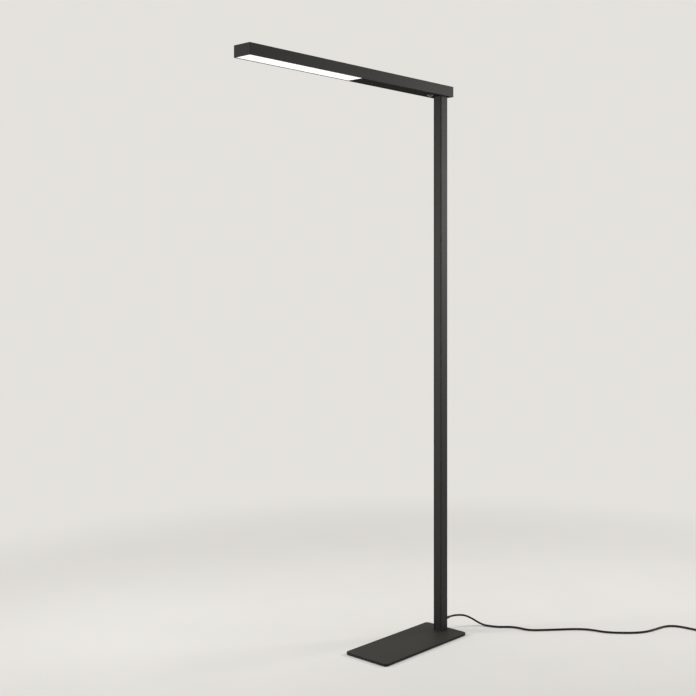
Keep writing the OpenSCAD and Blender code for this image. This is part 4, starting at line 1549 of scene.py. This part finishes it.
@dataclass
class Electrics:
    """What lies behind the underside cover: driver, terminals, clamp, earth screw and mount block."""

    case_corner: float = 4 * MM
    case_edge: float = 0.7 * MM
    lid_insets: tuple[tuple[float, float], ...] = ((2 * MM, 0), (0.3 * MM, -0.4 * MM))
    lid_seam_z: float = 3.2 * MM
    lid_seam_width: float = 0.5 * MM
    lid_seam_depth: float = 0.35 * MM
    ear_length: float = 9 * MM
    ear_thick: float = 2.5 * MM
    ear_root: float = 2 * MM
    ear_corner: float = 2.5 * MM
    screw_hole: float = 1.7 * MM
    vent_start: float = 12 * MM
    vent_width: float = 1.4 * MM
    vent_half: float = 9 * MM
    vent_depth: float = 1.6 * MM
    vent_pitch: float = 3.4 * MM
    vent_count: int = 9
    pole_gap: float = 8 * MM
    pole_groove: float = 1.2 * MM
    pole_groove_depth: float = 4 * MM
    pole_edge: float = 0.3 * MM
    saddle_edge: float = 1.5 * MM
    block_edge: float = 0.6 * MM

    def case(self, x0: float, x1: float) -> Piece:
        """The driver's case, with a sunk panel, cooling slots and a lid line along both sides.

        Args:
            x0: Its end towards the free end of the head.
            x1: Its end towards the rear.

        Returns:
            The case, without its ears.
        """
        low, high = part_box("led_driver")
        middle = (x0 + x1) / 2
        case = Piece.block("driver_case", (x0, low.y, low.z), (x1, high.y, high.z))
        case.bevel(self.case_corner, 5, running(Axis.Z)).bevel(self.case_edge, 2, level(Axis.Z, low.z))
        for width, depth in self.lid_insets:
            case.inset(width, depth, lambda at, way: way.z < -0.999 and math.hypot(at.x - middle, at.y) < MM)
        left = x0 + self.vent_start
        vent = Piece.block(
            "vent",
            (left, -self.vent_half, low.z - MM),
            (left + self.vent_width, self.vent_half, low.z + self.vent_depth),
        )
        vent.repeat([(self.vent_pitch * k, 0, 0) for k in range(1, self.vent_count)])
        case.take_away(vent)
        bottom, deep = low.z + self.lid_seam_z, self.lid_seam_depth
        for side in (-high.y, high.y):
            case.take_away(
                Piece.block(
                    "lid_line",
                    (x0 - MM, side - deep, bottom),
                    (x1 + MM, side + deep, bottom + self.lid_seam_width),
                )
            )
        return case

    def driver(self) -> None:
        """The driver, with an ear and a screw at each end."""
        low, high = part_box("led_driver")
        x0, x1 = low.x + self.ear_length, high.x - self.ear_length
        case = self.case(x0, x1)
        quarter = (high.y - low.y) / 4
        for end, wall, inward in ((low.x, x0, 1), (high.x, x1, -1)):
            root = wall + inward * self.ear_root
            ear = Piece.block("ear", (end, -quarter, high.z - self.ear_thick), (root, quarter, high.z))
            ear.bevel(self.ear_corner, 5, running(Axis.Z), level(Axis.X, end))
            hole = ((end + wall) / 2, 0, high.z - 2 * self.ear_thick)
            ear.take_away(Piece.bar("hole", 24, self.screw_hole, hole, 4 * self.ear_thick))
            case.fuse(ear)
        case.stand_for("led_driver")
        drive_screws("driver_fixing_screws", "driver_screws", M3_PAN)

    def terminals(self) -> None:
        """The terminal block, with a groove between its poles, and the earth screw near it."""
        low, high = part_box("terminal_block")
        piece = Piece.copy_of("terminal_strip", "terminal_block")
        middle, half = (low.y + high.y) / 2, self.pole_groove / 2
        for side in (-1, 1):
            y = middle + side * self.pole_gap / 2
            deep = low.z + self.pole_groove_depth
            groove = Piece.block("groove", (low.x - MM, y - half, low.z - MM), (high.x + MM, y + half, deep))
            piece.take_away(groove)
        piece.bevel(self.pole_edge, 2, level(Axis.Z, low.z), running(Axis.X, Axis.Y))
        piece.stand_for("terminal_block")
        drive_screws("earth_fixing_screw", "earth_screw", M3_PAN)

    def clamp(self) -> None:
        """The cable clamp, a saddle with soft edges, and its screws."""
        bottom = level(Axis.Z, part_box("cable_clamp")[0].z)
        piece = Piece.copy_of("cable_saddle", "cable_clamp")
        piece.bevel(self.saddle_edge, 4, bottom, running(Axis.X)).stand_for("cable_clamp")
        drive_screws("clamp_fixing_screws", "clamp_screws", M3_PAN)

    def block(self) -> None:
        """The milled block between the post and the head."""
        low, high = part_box("mount_block")
        outline = either(level(Axis.Y, -high.y, high.y), level(Axis.X, low.x, high.x))
        piece = Piece.copy_of("milled_mount_block", "mount_block")
        piece.bevel(self.block_edge, 2, running(Axis.X, Axis.Y), level(Axis.Z, low.z, high.z), outline)
        piece.stand_for("mount_block")

    def build(self) -> None:
        """Builds everything behind the underside cover."""
        self.driver()
        self.terminals()
        self.clamp()
        self.block()


# ---------- Dimmer ----------


@dataclass
class Dimmer:
    """The push-button dimmer in the underside cover."""

    flange: float = 3 * MM
    flange_radius: float = 11 * MM
    ring_groove: float = 8.3 * MM
    barrel_radius: float = 7.9 * MM
    bore: float = 6.3 * MM
    wide_bore: float = 7.1 * MM
    step: float = 4.5 * MM
    thread_pitch: float = 0.75 * MM
    nut_corner: float = 0.7 * MM
    play: float = 0.1 * MM
    button_radius: float = 6 * MM
    collar_radius: float = 6.8 * MM
    collar: float = 1.5 * MM
    stem_radius: float = 2.5 * MM
    switch_edge: float = 0.5 * MM
    spring_wire: float = 0.7 * MM
    spring_turns: int = 4

    @property
    def centre(self) -> Vector:
        """The middle of the bezel's outer face."""
        low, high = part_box("dimmer_bezel")
        return Vector(((low.x + high.x) / 2, (low.y + high.y) / 2, low.z))

    def bezel(self) -> None:
        """The bezel: a ring with a rounded rim and a fine groove, over a threaded barrel."""
        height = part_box("dimmer_bezel")[1].z - self.centre.z
        rim, bore, barrel, flange = self.flange_radius, self.bore, self.barrel_radius, self.flange
        profile = [
            *off(bore, 0, (0, 0.5), (0.15, 0.15), (0.5, 0)),
            *off(self.ring_groove, 0, (0, 0), (0.15, 0.25), (0.45, 0.25), (0.6, 0)),
            *off(rim, 0, (-1.3, 0.05), (-0.6, 0.3), (-0.15, 0.8), (0, 1.5)),
            *off(rim, flange, (0, -0.2), (-0.2, 0)),
            (barrel, flange),
        ]
        place = flange + 0.4 * MM
        while place + self.thread_pitch < height - 0.3 * MM:
            profile += [(barrel - 0.25 * MM, place), (barrel, place + self.thread_pitch / 2)]
            place += self.thread_pitch
        profile += [
            (barrel - 0.3 * MM, height), (self.wide_bore, height),
            (self.wide_bore, self.step), (bore, self.step), (bore, 0.5 * MM),
        ]
        Piece.turned("dimmer_ring", profile, self.centre, Axis.Z, 72).stand_for("dimmer_bezel")

    def nut(self) -> None:
        """The nut, with its corners chamfered on both faces."""
        low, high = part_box("dimmer_nut")
        size = high - low
        at = (self.centre.x, self.centre.y, low.z)
        radius, height = max(size.x, size.y) / 2, size.z
        nut = Piece.bar("ring_nut", 6, radius, at, height, 90 if size.y < size.x else 0)
        edge, wide, chamfer = radius * 0.93, radius + self.play, self.nut_corner
        cone = [(0, 0), (edge, 0), (wide, chamfer), (wide, height - chamfer), (edge, height), (0, height)]
        nut.combine("INTERSECT", Piece.turned("cone", cone, at, Axis.Z, 48))
        bore = Piece.bar("bore", 48, self.barrel_radius + self.play, (*at[:2], low.z - MM), height + 2 * MM)
        nut.take_away(bore).stand_for("dimmer_nut")

    def button(self) -> None:
        """The button, with a slightly hollow face, a collar and a stem."""
        low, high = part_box("dimmer_button")
        height = high.z - low.z
        body, collar, stem, soft = self.button_radius, self.collar_radius, self.stem_radius, 0.15 * MM
        shelf = self.centre.z + self.step + self.play - low.z
        top = shelf + self.collar
        profile = [
            *off(0, 0, (0, 0.35), (1.5, 0.31), (3, 0.18), (4.3, 0.03)),
            *off(body, 0, (-1, 0), (-0.6, 0.06), (-0.2, 0.3), (0, 0.7)),
            (body, shelf), (collar - soft, shelf), (collar, shelf + soft), (collar, top - soft),
            (collar - soft, top), (stem, top), *off(stem, height, (0, -0.4), (-0.4, 0)), (0, height),
        ]
        at = (self.centre.x, self.centre.y, low.z)
        Piece.turned("dimmer_push_button", profile, at, Axis.Z, 64).stand_for("dimmer_button", body=BUTTON)

    def switch(self) -> None:
        """The switch behind the button."""
        piece = Piece.copy_of("dimmer_switch_body", "dimmer_switch")
        piece.bevel(
            self.switch_edge,
            2,
            lambda at, way: (at.xy - self.centre.xy).length > self.button_radius,
            lambda at, way: not running(Axis.Z)(at, way),
        )
        piece.stand_for("dimmer_switch")

    def spring(self) -> None:
        """The return spring, which shortens against the switch as the button goes in."""
        low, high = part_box("dimmer_spring")
        coil = Piece.wound("return_spring", self.spring_wire, self.spring_turns, low, high)
        coil.stand_for("dimmer_spring")
        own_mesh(coil.obj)

    def build(self) -> None:
        """Builds the ring, its nut, the button, the switch and the spring between them."""
        self.bezel()
        self.nut()
        self.button()
        self.switch()
        self.spring()


# ---------- Strain relief, tie and plug ----------


@dataclass
class StrainRelief:
    """The tapered, slotted sleeve that leads the cord out of the post."""

    bore: float = 3.6 * MM
    flange_radius: float = 8 * MM
    neck_radius: float = 5.8 * MM
    tip_radius: float = 4.5 * MM
    collar: float = 2.5 * MM
    wall: float = 2 * MM
    flange: float = 3 * MM
    ring_count: int = 8
    ring_start: float = 1.2 * MM
    ring_pitch: float = 3.4 * MM
    slot: float = 1.4 * MM
    slot_depth: float = 1.1 * MM
    bridge_half: float = 1.1 * MM

    def build(self) -> None:
        """Turns the sleeve, cuts its slots, and leaves a bridge across each on alternate sides."""
        low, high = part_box("strain_relief")
        middle = Vector((0, 0, (low.z + high.z) / 2))
        x0, x1 = low.x, high.x
        root = x0 + self.collar + self.wall + self.flange
        flange, neck, bore, tip = self.flange_radius, self.neck_radius, self.bore, self.tip_radius
        edge, seat = 0.4 * MM, x0 + self.collar
        profile = [
            (bore, x0), (flange - edge, x0), (flange, x0 + edge), (flange, seat),
            (neck, seat), (neck, seat + self.wall), (flange, seat + self.wall),
            *off(flange, root, (0, -2), (-0.25, -1.1), (-0.9, -0.35), (-1.6, 0)),
            *off(neck, root, (0.2, 0.1)),
        ]
        bridges = []
        for k in range(self.ring_count):
            a = root + self.ring_start + k * self.ring_pitch
            b = a + self.slot
            outer, inner = (neck + (tip - neck) * (x - root) / (x1 - root) for x in (a, b))
            deep = max(outer - self.slot_depth, bore + 0.25 * MM)
            profile += [(outer, a), (deep, a + 0.1 * MM), (deep, b - 0.1 * MM), (inner, b)]
            y, z = sorted((inner - 0.05 * MM, self.bridge_half), reverse=bool(k % 2))
            bridges.append((Vector((a - 0.2 * MM, -y, -z)), Vector((b + 0.2 * MM, y, z))))
        profile += [(tip, x1 - 0.5 * MM), (tip - edge, x1), (bore, x1), (bore, x0)]
        sleeve = Piece.turned("flexible_sleeve", profile, middle, Axis.X, 48)
        for corner, opposite in bridges:
            sleeve.fuse(Piece.block("bridge", middle + corner, middle + opposite))
        sleeve.take_away(Piece.turned("drill", rod(bore, x0 - MM, x1 + MM), middle, Axis.X, 48))
        sleeve.stand_for("strain_relief")


@dataclass
class CoilTie:
    """The hook-and-loop strap round the coil: a flat band with its free end laid over itself."""

    centre: tuple[float, float] = (684 * MM, -722 * MM)
    inner: float = 27.66 * MM
    outer: float = 55.74 * MM
    width: float = 12 * MM
    thick: float = 0.8 * MM
    turn_deg: float = 45
    corner: float = 4 * MM
    foot_corner: float = 1.2 * MM
    flap_start: float = 7 * MM
    flap_end: float = 4.5 * MM
    flap_thick: float = 0.75 * MM
    flap_corner: float = 5 * MM
    flap_edge: float = 0.25 * MM

    @property
    def top(self) -> float:
        """The height of the strap's upper face."""
        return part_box("coil_tie")[1].z

    def band(self, name: str, grow: float, over: float) -> Piece:
        """A rounded bar across the coil.

        Args:
            name: The piece's name.
            grow: How much larger it is than the strap's hollow, on each side.
            over: How much wider it is than the strap, on each side.

        Returns:
            The bar, at the origin and not turned.
        """
        middle, half, thick = self.top / 2, self.width / 2 + over, self.thick - grow
        corner, opposite = (self.inner - grow, -half, thick), (self.outer + grow, half, self.top - thick)
        bar = Piece.block(name, corner, opposite)
        bar.bevel(self.corner + grow, 8, running(Axis.Y), lambda at, way: at.z > middle)
        return bar.bevel(self.foot_corner + grow, 5, running(Axis.Y), lambda at, way: at.z < middle)

    def build(self) -> Piece:
        """Hollows the band, lays the free end over it, and turns it to its place on the coil.

        Returns:
            The strap.
        """
        strap = self.band("hook_and_loop_tie", self.thick, 0)
        strap.take_away(self.band("hollow", 0, MM))
        start, end, half = self.inner + self.flap_start, self.outer - self.flap_end, self.width / 2
        upper = self.top + self.flap_thick
        flap = Piece.block("flap", (start, -half, self.top - 0.1 * MM), (end, half, upper))
        flap.bevel(self.flap_corner, 8, running(Axis.Z), lambda at, way: at.x < start + MM)
        strap.fuse(flap.bevel(self.flap_edge, 2, level(Axis.Z, upper)))
        return strap.move((*self.centre, 0), self.turn_deg).stand_for("coil_tie")


@dataclass
class Plug:
    """The moulded mains plug: body, two pins and two side contacts."""

    neck_length: float = 22 * MM
    grip_length: float = 26 * MM
    head_length: float = 17 * MM
    radius: float = 18.5 * MM
    grip_radius: float = 11 * MM
    neck_radius: float = 6.5 * MM
    tip_radius: float = 4.5 * MM
    groove_width: float = 8 * MM
    groove_depth: float = 3.5 * MM
    groove_edge: float = 0.8 * MM
    rib_count: int = 5
    neck_rib_start: float = 2.5 * MM
    neck_rib_pitch: float = 3.6 * MM
    grip_rib_start: float = 6 * MM
    grip_rib_pitch: float = 3 * MM
    hollow_radius: float = 30 * MM
    hollow_x: float = 33 * MM
    hollow_y: float = 41.5 * MM
    contact_length: float = 14 * MM
    contact_edge: float = 0.2 * MM
    contact_steps: tuple[float, ...] = (3.6 * MM, 6.4 * MM)
    contact_rise: float = 0.5 * MM
    pin_y: float = 9.5 * MM
    pin_radius: float = 2.4 * MM
    pin_bore: float = 2.5 * MM
    pin_length: float = 19 * MM
    pin_inside: float = 8 * MM
    earth_z: float = 9.5 * MM
    earth_radius: float = 2.4 * MM
    earth_depth: float = 12 * MM

    @property
    def middle(self) -> Vector:
        """The plug's axis, at the tip of its neck."""
        low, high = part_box("plug_body")
        return Vector((low.x, (low.y + high.y) / 2, (low.z + high.z) / 2))

    @property
    def face(self) -> float:
        """How far the face lies from the tip of the neck."""
        return self.neck_length + self.grip_length + self.head_length

    def outline(self) -> Outline:
        """The outline of the body, from the tip of its neck to its face.

        Returns:
            Its points, as (radius, place along the plug).
        """
        tip, neck, grip, rim = self.tip_radius, self.neck_radius, self.grip_radius, self.radius
        a, b, face = self.neck_length, self.neck_length + self.grip_length, self.face
        line = [(0, 0), *off(tip, 0, (-0.5, 0), (0, 0.5))]
        for k in range(self.rib_count):
            z = self.neck_rib_start + k * self.neck_rib_pitch
            r = tip + (neck - tip) * z / a
            line += off(r, z, (0, 0), (-0.8, 0.3), (-0.8, 1.3), (0.1, 1.6))
        line += [*off(neck, a, (0, -0.8)), *off(grip, a, (-3.6, 0.1), (-1.6, 0.8), (-0.5, 1.8), (0.4, 3.2))]
        for k in range(self.rib_count):
            z = a + self.grip_rib_start + k * self.grip_rib_pitch
            r = grip + (rim - 2 * MM - grip) * (z - a) / self.grip_length
            line += off(r, z, (0, 0), (-0.55, 0.35), (-0.5, 1), (0.3, 1.35))
        line += off(rim, b, (-2.4, -2), (-1.8, -0.4), (-0.8, 0.1), (-0.2, 0.5), (0, 1.2))
        line += [*off(rim, face, (0, -1.2), (-0.35, -0.35), (-1.2, 0)), (0, face)]
        return line

    def body(self) -> Piece:
        """The body, with finger hollows, side grooves, pin bores and an earth bore.

        Returns:
            The body.
        """
        at = self.middle
        body = Piece.turned("moulded_plug", self.outline(), at, Axis.X, 72)
        for side in (-1, 1):
            hollow = (at.x + self.hollow_x, at.y + side * self.hollow_y, 0)
            body.take_away(Piece.bar("hollow", 96, self.hollow_radius, hollow, 40 * MM))
        face, half, deep = at.x + self.face, self.groove_width / 2, self.groove_depth
        for side in (-1, 1):
            edge = at.z + side * self.radius
            corner = (face - self.contact_length - MM, at.y - half, edge - deep)
            groove = Piece.block("groove", corner, (face + MM, at.y + half, edge + deep))
            body.take_away(groove.bevel(self.groove_edge, 3, running(Axis.X)))
            bore = rod(self.pin_bore, -self.pin_inside, MM)
            body.take_away(Piece.turned("bore", bore, (face, at.y + side * self.pin_y, at.z), Axis.X, 32))
        r, root = self.earth_radius, -self.earth_depth
        earth = [(0, root), (r, root), *off(r, 0, (0, -0.5), (0.6, 0.1), (0.6, 1)), (0, MM)]
        body.take_away(Piece.turned("earth_bore", earth, (face, at.y, at.z + self.earth_z), Axis.X, 32))
        return body.stand_for("plug_body")

    def pins(self) -> Piece:
        """Two solid pins with rounded tips.

        Returns:
            Both pins, as one piece.
        """
        r, tip, root = self.pin_radius, self.pin_length, -self.pin_inside
        nose = ((1, 2.2), (0.93, 1.3), (0.75, 0.6), (0.45, 0.15))
        line = [(0, root), (r, root), *((share * r, tip - back * MM) for share, back in nose), (0, tip)]
        at = (self.middle.x + self.face, self.middle.y - self.pin_y, self.middle.z)
        pins = Piece.turned("plug_pin_pair", line, at, Axis.X, 32)
        return pins.repeat([(0, 2 * self.pin_y, 0)]).stand_for("plug_pins")

    def contacts(self) -> Piece:
        """Two sprung earth contacts in the side grooves, each a strip that rises to its middle in steps.

        Returns:
            Both contacts, as one piece.
        """
        made = []
        for low, high in solids("plug_earth_clips"):
            out = 1 if (low.z + high.z) / 2 > self.middle.z else -1
            strip = Piece.block("earth_contacts", low, high)
            face = high.z if out > 0 else low.z
            for share in (0.25, 0.4, 0.6, 0.75):
                strip.cut((low.x + share * (high.x - low.x), 0, 0), Axis.X.value)
            for start in self.contact_steps:
                strip.pull(
                    (0, 0, out * self.contact_rise),
                    lambda at, normal: normal.z * out > 0.9 and low.x + start < at.x < high.x - start,
                )
            top = face + out * 2 * self.contact_rise
            strip.bevel(self.contact_edge, 2, lambda at, way: near(at.z, top, 0.6 * MM))
            made.append(strip)
        return made[0].join(*made[1:]).stand_for("plug_earth_clips")


# ---------- Mains cord ----------


@dataclass
class MainsCord:
    """The mains cord: the free stretch to the coil, the coil that is put away, and the tail to the plug.

    Its sizes are in millimetres, as in the part's source.
    """

    diameter: float = 7.0
    exit_x: float = 50.5
    exit_z: float = 42.0
    floor_z: float = 3.5
    coil_centre: tuple[float, float] = (684.0, -722.0)
    coil_turns: float = 5.25
    coil_gap: float = 0.5
    tie_thickness: float = 0.8
    coil_first_deg: float = 180.0
    steps_per_turn: int = 48
    plug_x: float = 766.0
    plug_z: float = 18.7
    tail_rise: tuple[tuple[float, float], ...] = ((36, 0.5), (58, 4))
    falling: tuple[tuple[float, float, float], ...] = (
        (66, -1, 42), (80, -5, 42), (95, -12, 41), (110, -20, 38.5), (123, -30, 33),
        (136, -42, 24), (148, -56, 13), (157, -71, 5.5),
    )
    lying: tuple[tuple[float, float], ...] = (
        (162, -88), (170, -113), (182, -132), (197, -148), (210, -165), (217, -187), (219, -211),
        (227, -233), (243, -252), (273, -280), (306, -309), (338, -338), (362, -367), (374, -390),
        (380, -413), (387, -438), (403, -467), (428, -498), (458, -527), (496, -548), (540, -558),
        (580, -566), (607, -579), (621, -600), (627, -628), (629, -662),
    )

    @property
    def pitch(self) -> float:
        """The distance between turns that lie side by side."""
        return self.diameter + self.coil_gap

    @property
    def low_z(self) -> float:
        """The height of the lower layer's middle."""
        return self.tie_thickness + 0.1 + self.diameter / 2

    def coil_point(self, angle: float) -> Vector:
        """A point of the coil.

        Args:
            angle: The angle from the coil's start, in degrees.

        Returns:
            The point, in millimetres.
        """
        total = 360 * self.coil_turns
        least = 6 * self.diameter - self.pitch * self.coil_turns / 4
        radius = least + self.pitch * abs(angle - total / 2) / 360
        share = min(max((angle - total / 2 + 90) / 180, 0), 1)
        climb = share * share * (3 - 2 * share)
        turn = math.radians(self.coil_first_deg + angle)
        x, y = self.coil_centre
        height = self.low_z + climb * self.pitch
        return Vector((x + radius * math.cos(turn), y + radius * math.sin(turn), height))

    def coil(self) -> list[Vector]:
        """The points of the coil, from its outer turn in, up a layer, and out again.

        Returns:
            The points, in millimetres.
        """
        count = round(self.steps_per_turn * self.coil_turns)
        ring = [self.coil_point(360 * k / self.steps_per_turn) for k in range(count + 1)]
        return [ring[0] + Vector((0, self.diameter, 0)), *ring, ring[-1] + Vector((self.diameter, 0, 0))]

    @staticmethod
    def halfway(points: Sequence[Vector]) -> list[Vector]:
        """Puts one more point halfway along each span of a smooth curve.

        Args:
            points: The points of the curve.

        Returns:
            The same points, with those between them.
        """
        last = len(points) - 1
        made = []
        for i, here in enumerate(points[:-1]):
            before, after, beyond = points[max(i - 1, 0)], points[i + 1], points[min(i + 2, last)]
            made += [here, (9 * (here + after) - before - beyond) / 16]
        return [*made, points[-1]]

    def free(self, arrive: Vector) -> list[Vector]:
        """The free stretch, from the strain relief to the coil.

        Args:
            arrive: Where it meets the coil.

        Returns:
            Its points.
        """
        tip = Vector((self.exit_x, 0, self.exit_z))
        step = self.diameter
        route = [*self.falling, *((x, y, self.floor_z) for x, y in self.lying)]
        points = [tip + Vector((step, 0, 0)), *map(Vector, route), arrive + Vector((0, step, 0))]
        curve = self.halfway(self.halfway(points))
        return [tip, *(Vector((p.x, p.y, max(p.z, self.floor_z))) for p in curve)]

    def tail(self, leave: Vector) -> list[Vector]:
        """The tail, from the coil to the plug.

        Args:
            leave: Where it leaves the coil.

        Returns:
            Its points.
        """
        plug = Vector((self.plug_x, leave.y, self.plug_z))
        step = Vector((self.diameter, 0, 0))
        over = Vector((self.coil_centre[0], leave.y, self.low_z + self.pitch))
        rise = [over + Vector((x, 0, z)) for x, z in self.tail_rise]
        return [*self.halfway(self.halfway([leave + step, *rise, plug - step])), plug]

    def build(self, on_it: Sequence[Piece]) -> None:
        """Args:
            on_it: The pieces that are on the cord. It is not used.
        """
        coil = self.coil()
        points = [p * MM for p in [*self.free(coil[0]), *coil, *self.tail(coil[-1])]]
        curve = bpy.data.curves.new("mains_cord_whole", "CURVE")
        curve.dimensions = "3D"
        curve.bevel_depth = self.diameter * MM / 2
        curve.bevel_resolution = 3
        curve.use_fill_caps = True
        spline = curve.splines.new("POLY")
        spline.points.add(len(points) - 1)
        for point, place in zip(spline.points, points):
            point.co = (*place, 1)
        spline.use_smooth = True
        cord = bpy.data.objects.new("mains_cord_whole", curve)
        bpy.context.scene.collection.objects.link(cord)
        curve.materials.append(SHEATH.material())
        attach(cord, LAMP)
        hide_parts("mains_cord", "cord_coil", "cord_tail")


# ---------- The nodes, and everything in order ----------


def dress_nodes() -> None:
    """Gives every node the finish of its material slot."""
    for name, slot in SLOTS.items():
        node = frame["nodes"][name]
        finish = NODE_FINISH.get(name, SLOT_FINISH[slot])
        if not node.material_slots:
            node.data.materials.append(None)
        for place in node.material_slots:
            place.material = finish.material()
        log.info("%s: %s", name, finish.name)


def main() -> None:
    """Builds the studio and the lamp in order."""
    logging.basicConfig(level=logging.INFO, format="%(message)s")
    Studio().build()
    dress_nodes()
    StrainRelief().build()
    plug = Plug()
    MainsCord().build([CoilTie().build(), plug.body(), plug.pins(), plug.contacts()])
    for part in (Base(), Post(), Head(), Lights(), Electrics(), Dimmer()):
        part.build()
        log.info("%s is built", type(part).__name__)
    Piece.clear()


if __name__ == "__main__":
    main()
